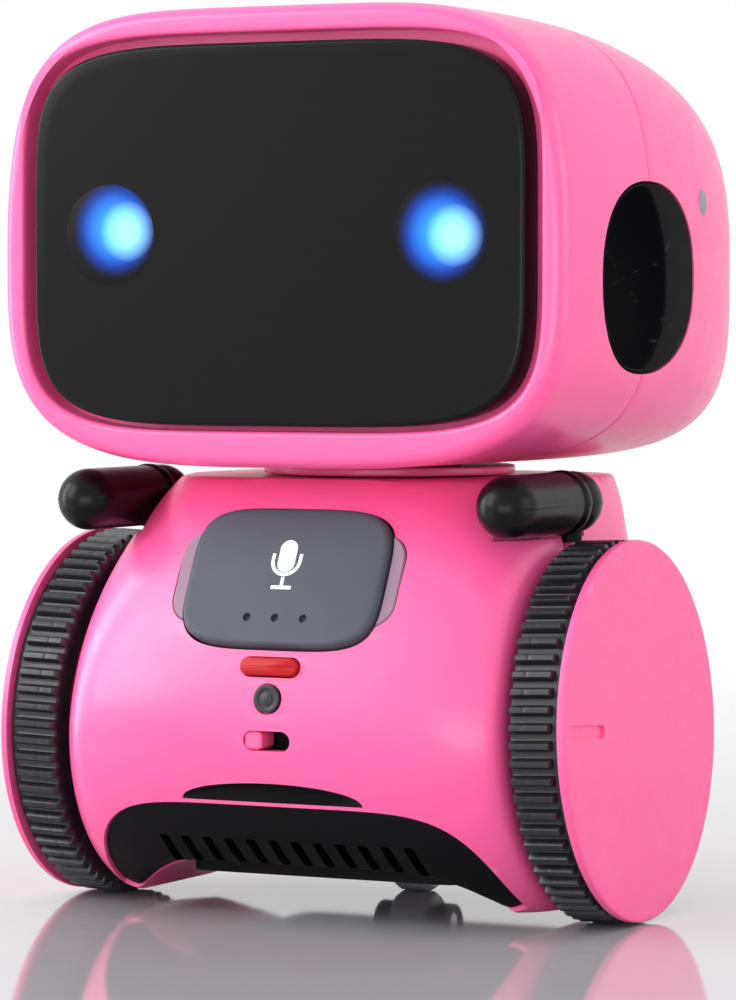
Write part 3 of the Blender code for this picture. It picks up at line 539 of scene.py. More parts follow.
def head_size(t):
    """Half width, height above the middle and depth below it, a share t of the way back."""
    wide = HEAD_HALF * (1 - 0.05 * (1 - t) ** 4) * (1 - t ** 5.6) ** (1 / 5.6)
    return wide, HEAD_UP * (1 - t ** 2.94) ** (1 / 2.94), HEAD_DOWN * (1 - t ** 10.0) ** 0.1


def head_side(y, z):
    """How far out the side of the head is at a depth and height."""
    t = np.clip((y - HEAD_FRONT) / (HEAD_BACK - HEAD_FRONT), 0.0, 1.0)
    wide, up, down = head_size(t)
    above = np.clip((z - HEAD_MID) / up, 0, 1)
    below = np.clip((HEAD_MID - z) / down, 0, 1)
    power = 3.6 + 0.7 * t
    return (wide * (1 - above ** 4.9) ** (1 / 4.9) * (1 - KEYSTONE * above ** 2)
            * (1 - below ** power) ** (1 / power))


def body_solid(name, inset=0.0, around=180, across=30):
    """The body about its wheel line: at angle a the radius swells from the flange to r0(a) by a squared
    ellipse of the place across, and the top and underside are levelled with rounded shoulders."""
    a = (np.arange(around) + 0.5) * 2 * pi / around
    up = np.degrees(np.arcsin(np.clip(np.sin(a), -1, 1)))
    rise = np.maximum(up, 0.0) / 90
    fore = BELLY_R + 16.4 * MM * rise ** 2.82
    aft = np.where(up > 0, BACK_R / np.maximum(np.cos(np.radians(up)), 0.35) ** 0.8,
                   BELLY_R + (BACK_R - BELLY_R) * np.cos(np.radians(up)) ** 3)
    centre = np.minimum(np.where(np.cos(a) < 0, fore, aft), 45 * MM)
    power = 3.8 - 1.95 * rise
    rings = []
    for k in np.linspace(-1, 1, 2 * across + 1):
        q = abs(k) * pi / 2
        u = np.sign(k) * np.sin(q) ** (2 / power)
        swell = np.maximum(np.cos(q), 0) ** (2 / power)
        r = FLANGE_R + (centre - FLANGE_R) * swell - inset
        y, z = r * np.cos(a), WHEEL_Z + r * np.sin(a)
        low = BELLY_Z - FOOT_DROP * np.minimum(1.0, (np.abs(u) / 0.85) ** 6) + inset
        z = soft_limit(z, low, BODY_TOP - inset, 0.5 * MM)
        half = BODY_HALF - inset - tan(CAMBER) * np.clip(z - WHEEL_Z, -20 * MM, 20 * MM)
        half -= 0.01 * np.maximum(z - WHEEL_Z, 0)
        rings.append(np.stack([u * half, y, z], 1))
    return skin(name, rings)


def soft_limit(z, low, high, round_off):
    """Holds z between low and high with a rounded knee: high - s ln(1 + e^((high - z)/s)) and the same
    below, s being a quarter of round_off."""
    s = round_off / 2.5
    z = high - s * np.logaddexp(0.0, (high - z) / s)
    return low + s * np.logaddexp(0.0, (z - low) / s)


def rod(name, radius, low, high, steps=64, turn=None, spot=(0, 0, 0), edge=0.0):
    """Cylinder tool or piece along its own axis."""
    profile = [(0, high), (radius, high), (radius, low), (0, low)]
    if edge:
        profile = soft(profile, edge)
    return skin(name, turned(profile, steps, turn) + np.asarray(spot, float))


def along(axis):
    """Turn that takes +Z to an axis: columns are two perpendiculars and the axis itself."""
    axis = np.asarray(axis, float) / np.linalg.norm(axis)
    side = np.cross((0.0, 1.0, 0.0), axis)
    if np.linalg.norm(side) < 1e-6:
        side = np.array((1.0, 0.0, 0.0))
    side /= np.linalg.norm(side)
    return np.stack([side, np.cross(axis, side), axis], 1)


def wheel_turn(k):
    """Outward wheel axis: the tops lean inward by the camber."""
    return along((k * cos(CAMBER), 0.0, sin(CAMBER)))


def wheel_spot(k):
    return np.array((k * WHEEL_X, 0.0, WHEEL_Z))


def ear_tool(k):
    """Oval hole in the side of the head."""
    edge = oval(np.add(EAR_HALF, 0.1 * MM), EAR_POWER, 160)
    return skin("ear tool", [np.column_stack([np.full(160, k * x), edge + (EAR_Y, EAR_Z)])
                             for x in (29 * MM, 45 * MM)])


def box_tool(low, high):
    """Plain box between two corners, for cutting."""
    (x0, y0, z0), (x1, y1, z1) = low, high
    ring = [(x0, y0), (x1, y0), (x1, y1), (x0, y1)]
    return skin("box tool", [[(x, y, z) for x, y in ring] for z in (z0, z1)])


def prism(name, outline, near, far, spot=(0, 0, 0), angle=0.0):
    """Outline in XZ run along Y, tipped back by angle, carried to spot."""
    return slab(name, outline, [(0.0, near), (0.0, far)], tilt(angle, spot))


def lens(wide, high, count=40):
    """Eyebrow outline: z = high (1 - x^2)^0.45 above, straight below."""
    x = np.cos(np.linspace(0, pi, count))
    over = np.stack([x * wide / 2, high * (1 - x * x) ** 0.45], 1)
    under = np.stack([np.linspace(-wide / 2, wide / 2, count // 2)[1:-1],
                      np.full(count // 2 - 2, -0.01 * MM)], 1)
    return np.concatenate([over, under])


def skirt_outline(grow=0.0, count=90):
    """Front view of the skirt: level top that falls away beside the wheels as (1 - x^6)^0.5."""
    x = np.cos(np.linspace(0, pi, count))
    half = 26.3 * MM + grow
    top = np.stack([x * half, 0.5 * MM + (13.2 * MM + grow) * (1 - np.abs(x) ** 6) ** 0.5], 1)
    return np.concatenate([top, [(-half, -2 * MM), (half, -2 * MM)]])


def door_outline(grow=0.0):
    return rounded(40 * MM + 2 * grow, 29 * MM + 2 * grow, 3 * MM + grow)


def shoulder_tool(k, grow=0.0):
    """Space swept by an arm: a shelf in the shoulder, rounded behind the pivot."""
    reach, clear = 30 * MM, ARM_R + 0.7 * MM + grow
    a = np.linspace(pi, pi / 2, 24)
    bend = np.stack([k * (ARM_X + clear * np.cos(a)), ARM_Y + clear * np.sin(a)], 1)
    out = np.concatenate([[(k * (ARM_X + reach), -reach), (k * (ARM_X - clear), -reach)], bend,
                          [(k * (ARM_X + reach), ARM_Y + clear)]])
    low, high = ARM_Z - ARM_R - 0.5 * MM - grow, BODY_TOP + 3 * MM
    return skin("shoulder tool", [np.column_stack([out, np.full(len(out), h)]) for h in (low, high)])


# ------------------------------------------------------------------ stage
class ROBOT_OT_stage(bpy.types.Operator):
    """Camera, floor with painted shade near the toy, and soft studio light"""

    bl_idname = "robot.stage"
    bl_label = "Stage"

    def execute(self, context):
        scene = context.scene
        view = bpy.data.cameras.new("camera")
        view.lens, view.sensor_width, view.clip_start = 162.0, 36.0, 0.01
        camera = bpy.data.objects.new("camera", view)
        camera.location = (0.23879, -0.47364 + WHEEL_Y, 0.06892)
        camera.rotation_euler = (pi / 2 - 0.03945, 0.0, 0.4651)
        scene.collection.objects.link(camera)
        scene.camera = camera

        world = bpy.data.worlds.new("studio")
        scene.world = world
        world.use_nodes = True
        sky = world.node_tree.nodes["Background"]
        sky.inputs["Color"].default_value = (1.0, 1.0, 1.0, 1.0)
        sky.inputs["Strength"].default_value = 1.0
        scene.view_settings.view_transform = "Standard"

        for name, spot, aim, size, power, tint in (
            ("key light", (-0.50, -0.50, 0.36), (0, 0, 0.05), (0.35, 0.5), 3.4, (1.0, 0.98, 0.99)),
            ("side strip", (-0.50, -0.12, 0.16), (0, 0, 0.07), (0.12, 0.5), 1.6, (1.0, 1.0, 1.0)),
            ("front fill", (0.15, -0.60, 0.03), (0, 0, 0.05), (0.5, 0.2), 1.3, (1.0, 1.0, 1.0)),
            ("right fill", (0.60, 0.05, 0.16), (0, 0, 0.06), (0.4, 0.4), 0.9, (1.0, 1.0, 1.0)),
            ("top light", (0.02, 0.10, 0.62), (0, 0, 0.08), (0.5, 0.4), 0.6, (1.0, 1.0, 1.0)),
        ):
            light = bpy.data.lights.new(name, "AREA")
            light.shape, light.size, light.size_y, light.energy, light.color = "RECTANGLE", *size, power, tint
            lamp = bpy.data.objects.new(name, light)
            lamp.location = spot
            lamp.rotation_euler = pointing(spot, aim)
            scene.collection.objects.link(lamp)

        # Floor colour carries painted shade: grey close to the toy, fading to pale white half a metre away
        mat, nodes, links, shader = nodes_of("floor with painted shade")
        coords = nodes.new("ShaderNodeTexCoord")
        away = nodes.new("ShaderNodeVectorMath")
        away.operation = "LENGTH"
        links.new(coords.outputs["Object"], away.inputs[0])
        links.new(blend_colour(nodes, links,
                               ranged(nodes, links, away.outputs["Value"], 0.10, 0.50, 0.0, 1.0),
                               (0.42, 0.42, 0.435), (0.93, 0.93, 0.935)), shader.inputs["Base Color"])
        shader.inputs["Roughness"].default_value = 0.07
        shader.inputs["Specular IOR Level"].default_value = 0.7
        reach = 3.0
        floor = raw("floor", [(-reach, -reach, 0), (reach, -reach, 0), (reach, reach, 0), (-reach, reach, 0)],
                    [(0, 1, 2, 3)])
        floor.data.materials.append(mat)
        return {"FINISHED"}


def pointing(spot, aim):
    """Rotation that points a lamp's -Z from spot to aim."""
    return (Vector(aim) - Vector(spot)).to_track_quat("-Z", "Y").to_euler()


# ------------------------------------------------------------------ head
class ROBOT_OT_head(bpy.types.Operator):
    """Front and rear head shells"""

    bl_idname = "robot.head"
    bl_label = "Head shells"

    def execute(self, context):
        sizes = context.scene.robot_sizes
        count = 240
        lip = sizes.seam
        edge = [(0.0, 0.35 * MM), (0.06 * MM, 0.12 * MM), (0.22 * MM, 0.02 * MM), (0.5 * MM, 0.0)]

        def opening(y, grow=0.0, half=FACE_HALF, middle=FACE_Z):
            flat = oval(np.add(half, grow), PANEL_POWER, count)
            return np.stack([flat[:, 0], np.full(count, y), middle + flat[:, 1]], 1)

        # front shell: round the wall from the inside of the seam, over the rim, to the panel seat
        seam = HEAD_SEAM - lip / 2
        rings = [head_ring(HEAD_FRONT + 6 * MM, WALL, count), head_ring(seam, WALL, count)]
        rings += [head_ring(seam - d, i, count) for d, i in edge]
        rings += [head_ring(y, 0.0, count) for y in np.linspace(seam - 1.2 * MM, HEAD_FRONT + 2.6 * MM, 26)]
        round_off = sizes.rim_round
        for q in np.linspace(0.06, 1, 9) * pi / 2:
            rings.append(head_ring(HEAD_FRONT + round_off * 1.25 * (1 - sin(q)), round_off * (1 - cos(q)),
                                   count))
        brim = 0.6 * MM
        for q in np.linspace(0, 1, 7) * pi / 2:
            rings.append(opening(HEAD_FRONT + brim * (1 - cos(q)), brim * (1 - sin(q))))
        rings += [opening(y) for y in (HEAD_FRONT + 1.6 * MM, -18.1 * MM)]
        rings += [opening(y, -2.0 * MM, PANEL_HALF) for y in (-18.05 * MM, HEAD_FRONT + 6 * MM)]
        front = skin("head_front_shell", rings, closed=True)

        # rear shell: inside pole to seam, then outside to the rear pole
        seam = HEAD_SEAM + lip / 2
        depth = HEAD_BACK - seam
        share = 1 - (1 - np.linspace(0, 1, 60)) ** 2.2
        inside = [head_ring(seam + (depth - WALL) * s, WALL, count) for s in share[::-2]]
        outside = [head_ring(seam + d, i, count) for d, i in edge]
        outside += [head_ring(seam + 0.6 * MM + (depth - 0.6 * MM) * s, 0.0, count) for s in share[1:]]
        rear = skin("head_rear_shell", inside + outside)

        tools = [ear_tool(k) for _, k in SIDES]
        neck = rod("neck tool", NECK_R + 0.3 * MM, -8 * MM, 8 * MM, 96, None, (0, NECK_Y, BODY_TOP + 2 * MM))
        carve(front, *tools, neck)
        screws = [rod("screw tool", 1.9 * MM, -14 * MM, 0.0, 48, along((0, -1, 0)),
                      (k * 24 * MM, 31 * MM, 63 * MM))
                  for _, k in SIDES]
        carve(rear, *tools, neck, *screws)
        drop(*tools, neck, *screws)
        make(front, finish("shell"), "head", ["head_front_shell"])
        make(rear, finish("shell"), "head", ["head_rear_shell"])
        return {"FINISHED"}


class ROBOT_OT_face(bpy.types.Operator):
    """Smoked face panel and the two lit eye lenses"""

    bl_idname = "robot.face"
    bl_label = "Face panel and eyes"

    def execute(self, context):
        colours = context.scene.robot_colours
        grid = crown(PANEL_HALF, PANEL_POWER, PANEL_THICK, 0.5 * MM, 0.0, 240, 24)
        panel = skin("face_panel", grid + np.array((0, PANEL_FRONT, PANEL_Z)))
        holes = [rod("eye tool", EYE_R + 0.01 * MM, -6 * MM, 6 * MM, 128, along((0, -1, 0)),
                     (k * EYE_X, PANEL_FRONT, EYE_Z)) for _, k in SIDES]
        carve(panel, *holes)
        drop(*holes)
        make(panel, finish("panel"), "head", ["face_panel"])
        for side, k in SIDES:
            profile = [(0, 0), (EYE_R - 0.12 * MM, 0), (EYE_R, -0.01 * MM), (EYE_R, -PANEL_THICK),
                       (0, -PANEL_THICK)]
            spot = np.array((k * EYE_X, PANEL_FRONT, EYE_Z))
            eye = skin("eye_lens_" + side, turned(profile, 128, along((0, -1, 0))) + spot)
            across, up = EYE_GLOW[side]
            lit = smoked("eye light " + side, colours.panel, (k * EYE_X + across, EYE_Z + up), colours.glow,
                         colours.core)
            make(eye, lit, "head", ["eye_lens_" + side])
        return {"FINISHED"}


class ROBOT_OT_ears(bpy.types.Operator):
    """Black ear discs with a scoop, and the grey dot behind each"""

    bl_idname = "robot.ears"
    bl_label = "Ears"

    def execute(self, context):
        for side, k in SIDES:
            # face: the head's own side, scooped out ahead of a crescent inside a narrow rim
            rows, columns = 100, 180
            edge = oval(EAR_HALF, EAR_POWER, columns)
            r = np.linspace(0, 1, rows)[:, None]
            y, z = r * edge[:, 0], r * edge[:, 1]
            side_x = head_side(EAR_Y + y, EAR_Z + z) - 0.05 * MM
            gap = np.maximum(SCOOP_R ** 2 - (y + SCOOP_FORE) ** 2 - 0.62 * (z + 0.8 * MM) ** 2, 0)
            s = 0.10 * MM
            bowl = -s * np.logaddexp(-side_x / s, (np.sqrt(gap) - SCOOP_OUT) / s)
            rim = np.clip((r - 0.935) / 0.03, 0, 1)
            x = bowl + (side_x - bowl) * rim * rim * (3 - 2 * rim) - 0.25 * MM * np.clip((r - 0.98) / 0.02,
                                                                                         0, 1)
            top = np.stack([k * x, EAR_Y + y, EAR_Z + z], -1)
            foot = top[-1].copy()
            foot[:, 0] = k * 31.0 * MM
            pole = np.tile((k * 31.0 * MM, EAR_Y, EAR_Z), (columns, 1))
            ear = skin("ear_" + side, np.concatenate([top, [foot, pole]]))
            make(ear, finish("ear black"), "head", ["ear_" + side], 40)
            levels = [(0, 0.30 * MM), (0.7, 0.28 * MM), (0.93, 0.16 * MM), (1.0, -0.1 * MM), (1.0, -0.7 * MM),
                      (0, -0.7 * MM)]
            a = np.arange(48) * 2 * pi / 48
            out, fore, up = DOT_SPOT
            grid = np.stack([np.stack([np.full(48, k * (out + h)), fore + s * 1.1 * MM * np.cos(a),
                                       up + s * 1.6 * MM * np.sin(a)], -1) for s, h in levels])
            make(skin("head_dot_" + side, grid), finish("grey"), "head", ["head_dot_" + side])
        return {"FINISHED"}


class ROBOT_OT_neck(bpy.types.Operator):
    """Neck collar"""

    bl_idname = "robot.neck"
    bl_label = "Neck"

    def execute(self, context):
        spot = np.array((0, NECK_Y, 0))
        ring = soft([(15 * MM, 52.0 * MM), (15 * MM, 51.0 * MM), (8.8 * MM, 51.0 * MM),
                     (8.8 * MM, 52.0 * MM)],
                    0.3 * MM, closed=True)
        make(skin("neck_collar", turned(ring, 128) + spot, closed=True), finish("shell"), "body",
             ["neck_collar"])
        return {"FINISHED"}


# ------------------------------------------------------------------ body
class ROBOT_OT_body(bpy.types.Operator):
    """Front and rear body shells, skirt and battery door"""

    bl_idname = "robot.body"
    bl_label = "Body shells"

    def execute(self, context):
        seam = context.scene.robot_sizes.seam
        core = body_solid("core", WALL, 90, 16)
        grown = [shoulder_tool(k, WALL) for _, k in SIDES]
        carve(core, *grown)
        shoulders = [shoulder_tool(k) for _, k in SIDES]
        neck = rod("neck tool", NECK_R + 0.3 * MM, -6 * MM, 6 * MM, 96, None, (0, NECK_Y, BODY_TOP))
        axles = [rod("axle tool", 2.6 * MM, -8 * MM, 0.0, 48, wheel_turn(k), wheel_spot(k)) for _, k in SIDES]
        pins = [rod("pin tool", 1.45 * MM, -7 * MM, -1 * MM, 40, None, (k * ARM_X, ARM_Y, ARM_Z)) for _,
                k in SIDES]
        base = skin("base tool", [np.column_stack([rounded(36.6 * MM, 31.6 * MM, 3 * MM) + (0, 6 * MM),
                                                   np.full(36, h)]) for h in (-2 * MM, 14 * MM)])
        common = [core, neck, *axles, *shoulders, base, *pins]

        hole = prism("key tool", oval(np.add(BUTTON_HALF, 0.25 * MM), BUTTON_POWER), -6 * MM, 10 * MM,
                     BUTTON_SPOT,
                     BUTTON_TILT)
        guide = prism("guide tool", rounded(28.8 * MM, 11.6 * MM, 3.1 * MM), -6 * MM, 10 * MM, BUTTON_SPOT,
                      BUTTON_TILT)
        lamp = prism("lamp tool", rounded(7.6 * MM, 2.4 * MM, 1.19 * MM), -5 * MM, 6 * MM, LAMP_SPOT,
                     LAMP_TILT)
        slide = prism("slide tool", rounded(6.0 * MM, 2.3 * MM, 1.14 * MM), -5 * MM, 4 * MM, SLIDE_SPOT)
        mark = rod("mark tool", 1.8 * MM, -0.9 * MM, 3 * MM, 64,
                   along((0, -cos(MARK_TILT), sin(MARK_TILT))), MARK_SPOT)
        slit = prism("slit tool", lens(23.2 * MM, 2.25 * MM), -30 * MM, -14 * MM, (0, 0, SLIT_Z))
        opening = prism("skirt tool", skirt_outline(0.12 * MM), -34 * MM, -9.7 * MM)
        behind = box_tool((-0.1, BODY_SEAM - seam / 2, -0.1), (0.1, 0.1, 0.2))
        ahead = box_tool((-0.1, -0.1, -0.1), (0.1, BODY_SEAM + seam / 2, 0.2))
        door_tool = prism("door tool", door_outline(0.25 * MM), 12 * MM, 40 * MM, (0, 0, 30.5 * MM))

        front = body_solid("body_front_shell")
        carve(front, *common, behind, hole, guide, lamp, mark, slide, slit, opening)
        rear = body_solid("body_rear_shell")
        carve(rear, *common, ahead, door_tool)
        make(front, finish("shell"), "body", ["body_front_shell"])
        make(rear, finish("shell"), "body", ["body_rear_shell"])
        drop(core, *grown, *shoulders, neck, *axles, *pins, base, hole, guide, lamp, slide, mark, slit,
             opening,
             behind, ahead, door_tool)

        skirt = body_solid("speaker_skirt", 0.35 * MM)
        hollow = body_solid("skirt core", WALL + 0.3 * MM, 90, 16)
        field = prism("skirt field", skirt_outline(), -34 * MM, -10 * MM)
        slots = []
        for i in range(12):
            lean = np.array([(-1.12 * MM, 1.7 * MM), (-0.12 * MM, -1.7 * MM), (1.12 * MM, -1.7 * MM),
                             (0.12 * MM, 1.7 * MM)])
            slots.append(prism("slot tool", soft(lean, 0.3 * MM, 3, True), -34 * MM, -10 * MM,
                               ((i - 5.3) * 2.87 * MM, 0, 7.9 * MM)))
        carve(skirt, hollow, (field, "INTERSECT"), *slots)
        make(skirt, finish("satin black"), "body", ["speaker_skirt"])
        drop(hollow, field, *slots)

        door = body_solid("battery_door")
        hollow = body_solid("door core", WALL - 0.2 * MM, 90, 16)
        field = prism("door field", door_outline(), 12 * MM, 40 * MM, (0, 0, 30.5 * MM))
        screw = rod("screw tool", 1.9 * MM, -9 * MM, 9 * MM, 48, along((0, -1, 0)), (0, 28 * MM, 41.5 * MM))
        carve(door, hollow, (field, "INTERSECT"), screw)
        make(door, finish("shell"), "door", ["battery_door"])
        drop(hollow, field, screw)
        window = slab("sensor_window", lens(22.9 * MM, 2.05 * MM)[::-1],
                      [(0.0, -20.8 * MM), (0.0, -22.1 * MM), (0.06 * MM, -22.2 * MM)],
                      tilt(0, (0, 0, SLIT_Z + 0.1 * MM)))
        make(window, finish("ear black"), "body", ["sensor_window"])
        return {"FINISHED"}


class ROBOT_OT_controls(bpy.types.Operator):
    """Microphone key with its pictogram, light guide, record lamp, printed mark and slide switch"""

    bl_idname = "robot.controls"
    bl_label = "Front controls"

    def execute(self, context):
        place = tilt(BUTTON_TILT, BUTTON_SPOT)
        grid = crown(BUTTON_HALF, BUTTON_POWER, 2.4 * MM, 0.6 * MM, 0.3 * MM, 180, 22)
        key = skin("mic_button", place(grid - np.array((0, 0.9 * MM, 0))))
        out = np.array((0, -cos(BUTTON_TILT), sin(BUTTON_TILT)))
        stem = rod("stem", 2.2 * MM, -6.2 * MM, -1.0 * MM, 48, along(out), BUTTON_SPOT)
        holes = [rod("voice tool", 0.5 * MM, 0.5 * MM, 3 * MM, 32, along(out),
                     place((i * 3.6 * MM, 0, -5.3 * MM))) for i in (-1, 0, 1)]
        carve(key, (stem, "UNION"), *holes)
        drop(stem, *holes)
        make(key, finish("key"), "button", ["mic_button"])

        guide = slab("button_halo", rounded(28.6 * MM, 11.4 * MM, 3.0 * MM),
                     [(0.0, 4.6 * MM), (0.0, 0.05 * MM), (0.15 * MM, -0.1 * MM)][::-1], place)
        well = prism("well tool", oval(np.add(BUTTON_HALF, 0.25 * MM), BUTTON_POWER), -6 * MM, 3.4 * MM,
                     BUTTON_SPOT, BUTTON_TILT)
        bore = rod("bore tool", 2.6 * MM, -12 * MM, 2 * MM, 48, along(out), BUTTON_SPOT)
        carve(guide, well, bore)
        drop(well, bore)
        make(guide, finish("halo"), "body", ["button_halo"])
        self.pictogram(place)

        lamp = slab("record_lamp", rounded(7.3 * MM, 2.1 * MM, 1.04 * MM),
                    [(0.0, 2.4 * MM), (0.0, -0.15 * MM), (0.1 * MM, -0.3 * MM), (0.3 * MM, -0.38 * MM)][::-1],
                    tilt(LAMP_TILT, LAMP_SPOT))
        make(lamp, finish("lamp"), "body", ["record_lamp"])

        out = np.array((0, -cos(MARK_TILT), sin(MARK_TILT)))
        ring = soft([(0, 0.12 * MM), (0.7 * MM, 0.12 * MM), (0.7 * MM, 0.0), (1.15 * MM, 0.0),
                     (1.15 * MM, 0.12 * MM),
                     (1.6 * MM, 0.12 * MM), (1.6 * MM, -0.6 * MM), (0, -0.6 * MM)], 0.04 * MM, 2)
        mark = skin("record_mark", turned(ring, 72, along(out)) + np.array(MARK_SPOT))
        make(mark, finish("print black"), "body", ["record_mark"])

        knob = soft([(-1.3 * MM, -1.05 * MM), (0.9 * MM, -1.05 * MM), (0.9 * MM, 1.05 * MM),
                     (-1.3 * MM, 1.05 * MM)],
                    0.7 * MM, 6, True)
        piece = slab("slide_knob", knob, [(0.0, 3.2 * MM), (0.0, 0.35 * MM), (0.25 * MM, 0.1 * MM)][::-1],
                     tilt(0, np.add(SLIDE_SPOT, (-1.6 * MM, 0, 0))))
        make(piece, finish("shell"), "switch", ["slide_knob"])
        return {"FINISHED"}

    def pictogram(self, place):
        """Plain microphone sign: capsule, cradle, stem and foot, raised a hair above the key."""
        high, low = -1.23 * MM, -0.95 * MM
        capsule = rounded(2.2 * MM, 4.0 * MM, 1.09 * MM, 10) + (0, 2.3 * MM)
        a = np.linspace(pi, 2 * pi, 30)
        bend = np.stack([np.cos(a), np.sin(a)], 1)
        arm = np.concatenate([[(-1.95, 0.85)], 1.95 * bend, [(1.95, 0.85), (1.52, 0.85)], 1.52 * bend[::-1],
                              [(-1.52, 0.85)]]) * MM + (0, 1.75 * MM)
        stem = rounded(0.43 * MM, 1.2 * MM, 0.05 * MM, 2) + (0, -0.9 * MM)
        foot = rounded(2.6 * MM, 0.45 * MM, 0.12 * MM, 3) + (0, -1.6 * MM)
        for name, outline in (("capsule", capsule), ("cradle", arm), ("stem", stem), ("foot", foot)):
            piece = slab("sign_" + name, outline, [(0.0, high), (0.0, low)], place)
            make(piece, finish("print white"), "button")


# ------------------------------------------------------------------ wheels, arms, base
class ROBOT_OT_wheels(bpy.types.Operator):
    """Pink wheel discs and ribbed tyres"""

    bl_idname = "robot.wheels"
    bl_label = "Wheels"

    def execute(self, context):
        sizes = context.scene.robot_sizes
        for side, k in SIDES:
            turn, spot = wheel_turn(k), wheel_spot(k)
            rim = soft([(DISC_R - 1 * MM, DISC_OUT), (DISC_R, DISC_OUT), (DISC_R, TYRE_OUT + 0.1 * MM)],
                       0.35 * MM)
            rim = [(0, DISC_OUT), *rim.tolist()]
            back = [(TYRE_BORE - 0.3 * MM, TYRE_OUT + 0.1 * MM), (TYRE_BORE - 0.3 * MM, -1.9 * MM),
                    (TYRE_BORE - 2 * MM, -1.9 * MM), (TYRE_BORE - 2 * MM, 2.4 * MM), (4.0 * MM, 2.4 * MM),
                    (4.0 * MM, 0.4 * MM), (0, 0.4 * MM)]
            disc = skin("wheel_disc_" + side, turned(rim + back, 200, turn) + spot)
            mark = slab("mark tool", rounded(9.6 * MM, 1.5 * MM, 0.7 * MM), [(0.0, -3 * MM), (0.0, 0.4 * MM)])
            points = np.array([v.co for v in mark.data.vertices])
            outward = turn[:, 2]
            ahead = np.array((0.0, 1.0, -MARK_UP / MARK_AHEAD))
            ahead /= np.linalg.norm(ahead)
            upward = np.cross(outward, ahead)
            centre = spot + outward * DISC_OUT - ahead * MARK_AHEAD
            moved = centre + points[:, :1] * ahead - points[:, 1:2] * outward + points[:, 2:] * upward
            mark.data.vertices.foreach_set("co", moved.astype(np.float32).ravel())
            carve(disc, mark)
            drop(mark)
            make(disc, finish("disc"), "wheel_" + side, ["wheel_disc_" + side])
            self.tyre(side, k, turn, spot, sizes)
        return {"FINISHED"}

    def tyre(self, side, k, turn, spot, sizes):
        """Tread: at angle a the radius is root + h b(a) where b is a flat-topped wave of the rib count;
        across, the bars run from the inner shoulder to a plain band, with a shallow kink in the middle."""
        steps = sizes.ribs * 14
        a = np.arange(steps) * 2 * pi / steps
        wave = np.cos(a * sizes.ribs)
        bar = 1 / (1 + np.exp(-(wave - 0.05) * 8.0))
        tall = TYRE_R - TYRE_ROOT
        height = np.array([-2.8, -2.76, -2.6, -2.35, -2.0, -1.4, -1.1, -0.9, -0.75, -0.6, -0.45, 0.0, 0.6,
                           1.1,
                           2.0, 2.2, 2.35, 2.5, 2.8, 3.1, 3.25, 3.3]) * MM
        lift = np.clip((height - TYRE_IN) / (0.35 * MM), 0,
                       1) ** 0.5 * np.clip((RIB_OUT - height) / (0.2 * MM), 0, 1)
        notch = np.exp(-((height + 0.75 * MM) / (0.12 * MM)) ** 2) * sizes.rib_notch / tall
        near = np.minimum(height - TYRE_IN, TYRE_OUT - height)
        root = TYRE_ROOT - 0.35 * MM * (1 - np.clip(near / (0.2 * MM), 0, 1) ** 0.5)
        radius = root[:, None] + tall * np.maximum(lift - notch, 0)[:, None] * bar[None, :]
        rings = [np.stack([r * np.cos(a), r * np.sin(a), np.full(steps, h)], -1) for r,
                 h in zip(radius, height)]
        for r, h in ((19.6 * MM, TYRE_OUT), (TYRE_BORE, TYRE_OUT), (TYRE_BORE, TYRE_IN),
                     (19.6 * MM, TYRE_IN)):
            rings.append(np.stack([r * np.cos(a), r * np.sin(a), np.full(steps, h)], -1))
        tyre = skin("tyre_" + side, np.stack(rings) @ turn.T + spot, closed=True)
        make(tyre, finish("rubber"), "wheel_" + side, ["tyre_" + side], 38)


class ROBOT_OT_arms(bpy.types.Operator):
    """Arm capsules with a ring band and a mould seam"""

    bl_idname = "robot.arms"
    bl_label = "Arms"

    def execute(self, context):
        for side, k in SIDES:
            q = np.linspace(0, pi / 2, 20)
            tip = np.stack([ARM_R * np.sin(q), ARM_LONG + ARM_R * np.cos(q)], 1)
            side_wall = np.stack([np.full(20, ARM_R), np.linspace(ARM_LONG, 4.9 * MM, 20)], 1)[1:]
            band = soft([(ARM_R, 4.5 * MM), (ARM_R - 0.22 * MM, 4.2 * MM), (ARM_R - 0.22 * MM, 3.9 * MM),
                         (ARM_R + 0.18 * MM, 3.5 * MM), (ARM_R + 0.18 * MM, 2.6 * MM),
                         (ARM_R - 0.18 * MM, 2.3 * MM),
                         (ARM_R - 0.18 * MM, 2.0 * MM), (ARM_R, 1.7 * MM)], 0.12 * MM, 3)
            heel = np.stack([ARM_R * np.cos(q), -ARM_R * np.sin(q)], 1)
            profile = np.concatenate([tip, side_wall, band, heel])
            steps = 144
            a = np.arange(steps) * 2 * pi / steps
            ridge = 0.07 * MM * (np.exp(-((a - pi / 2) / 0.02) ** 2) + np.exp(-((a - 3 * pi / 2) / 0.02) ** 2))
            r = profile[:, :1] + ridge * (profile[:, :1] > 1e-6) * np.clip(profile[:, :1] / ARM_R, 0, 1)
            # the capsule lies along -Y; the seam runs along its sides
            grid = np.stack([r * np.sin(a), np.repeat(-profile[:, 1:], steps, 1), r * np.cos(a)], -1)
            arm = skin("arm_" + side, grid + np.array((k * ARM_X, ARM_Y, ARM_Z)))
            bore = rod("bore tool", 1.4 * MM, -6 * MM, 2 * MM, 40, None, (k * ARM_X, ARM_Y, ARM_Z))
            carve(arm, bore)
            drop(bore)
            make(arm, finish("gloss black"), "arm_" + side, ["arm_" + side])
        return {"FINISHED"}


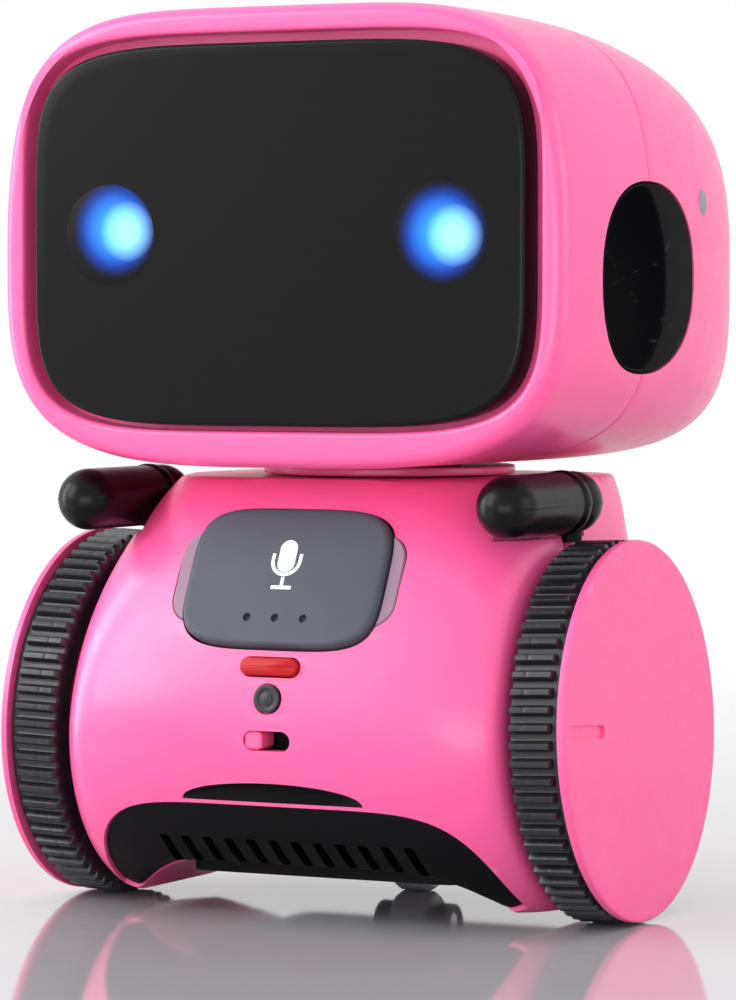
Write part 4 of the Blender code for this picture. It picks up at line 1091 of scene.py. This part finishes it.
class ROBOT_OT_base(bpy.types.Operator):
    """Fixing screws with cross recesses"""

    bl_idname = "robot.base"
    bl_label = "Screws"

    def execute(self, context):
        spots = [("head_screw_" + side, (k * 24 * MM, 37.0 * MM, 63 * MM), "head", 12 * MM) for side,
                 k in SIDES]
        spots.append(("door_screw", (0, 29.4 * MM, 41.5 * MM), "door", 1.2 * MM))
        for name, spot, body, long in spots:
            profile = soft([(0, 0.25 * MM), (1.0 * MM, 0.2 * MM), (1.6 * MM, -0.3 * MM), (1.6 * MM, -long),
                            (0, -long)], 0.15 * MM, 3)
            turn = along((0, 1, 0))
            screw = skin(name, turned(profile, 64, turn) + np.array(spot))
            cross = [box_tool(np.subtract(spot, (w, 0.5 * MM, h)), np.add(spot, (w, 1 * MM, h)))
                     for w, h in ((1.0 * MM, 0.22 * MM), (0.22 * MM, 1.0 * MM))]
            carve(screw, *cross)
            drop(*cross)
            make(screw, finish("steel"), body, [name])
        return {"FINISHED"}


class ROBOT_OT_inside(bpy.types.Operator):
    """Finishes for the working parts that stay as CAD nodes"""

    bl_idname = "robot.inside"
    bl_label = "Inner works"

    def execute(self, context):
        kinds = {"black_satin": "satin black", "grey_plastic": "grey", "white_plastic": "nylon",
                 "steel": "steel",
                 "board_green": "board", "cell_wrap": "cell", "pink_shell": "shell",
                 "black_gloss": "gloss black",
                 "pink_knob": "shell", "halo_lavender": "halo", "lamp_red": "lamp", "button_grey": "key",
                 "tyre_rubber": "rubber", "smoked_panel": "panel", "eye_light": "nylon", "pink_disc": "disc"}
        for part in frame["record"]["subparts"]:
            node = frame["nodes"][part["node"]]
            for place in node.material_slots:
                place.material = finish(kinds[part["material_slot"]])
        return {"FINISHED"}


class ROBOT_PT_panel(bpy.types.Panel):
    """Sidebar panel that lists the steps"""

    bl_idname = "ROBOT_PT_panel"
    bl_label = "Talking robot"
    bl_space_type = "VIEW_3D"
    bl_region_type = "UI"
    bl_category = "Talking robot"

    def draw(self, context):
        for group in (context.scene.robot_sizes, context.scene.robot_colours):
            for key in group.__annotations__:
                self.layout.prop(group, key)
        for step in STEPS:
            self.layout.operator(step.bl_idname)


STEPS = (ROBOT_OT_stage, ROBOT_OT_inside, ROBOT_OT_head, ROBOT_OT_face, ROBOT_OT_ears, ROBOT_OT_neck,
         ROBOT_OT_body, ROBOT_OT_controls, ROBOT_OT_wheels, ROBOT_OT_arms, ROBOT_OT_base)
CLASSES = (RobotSizes, RobotColours, *STEPS, ROBOT_PT_panel)


def register():
    for item in CLASSES:
        bpy.utils.register_class(item)
    bpy.types.Scene.robot_sizes = bpy.props.PointerProperty(type=RobotSizes)
    bpy.types.Scene.robot_colours = bpy.props.PointerProperty(type=RobotColours)


def unregister():
    del bpy.types.Scene.robot_sizes, bpy.types.Scene.robot_colours
    for item in reversed(CLASSES):
        bpy.utils.unregister_class(item)


def main():
    register()
    bpy.ops.robot.stage()
    bpy.ops.robot.inside()
    bpy.ops.robot.head()
    bpy.ops.robot.face()
    bpy.ops.robot.ears()
    bpy.ops.robot.neck()
    bpy.ops.robot.body()
    bpy.ops.robot.controls()
    bpy.ops.robot.wheels()
    bpy.ops.robot.arms()
    bpy.ops.robot.base()


if __name__ == "__main__":
    main()
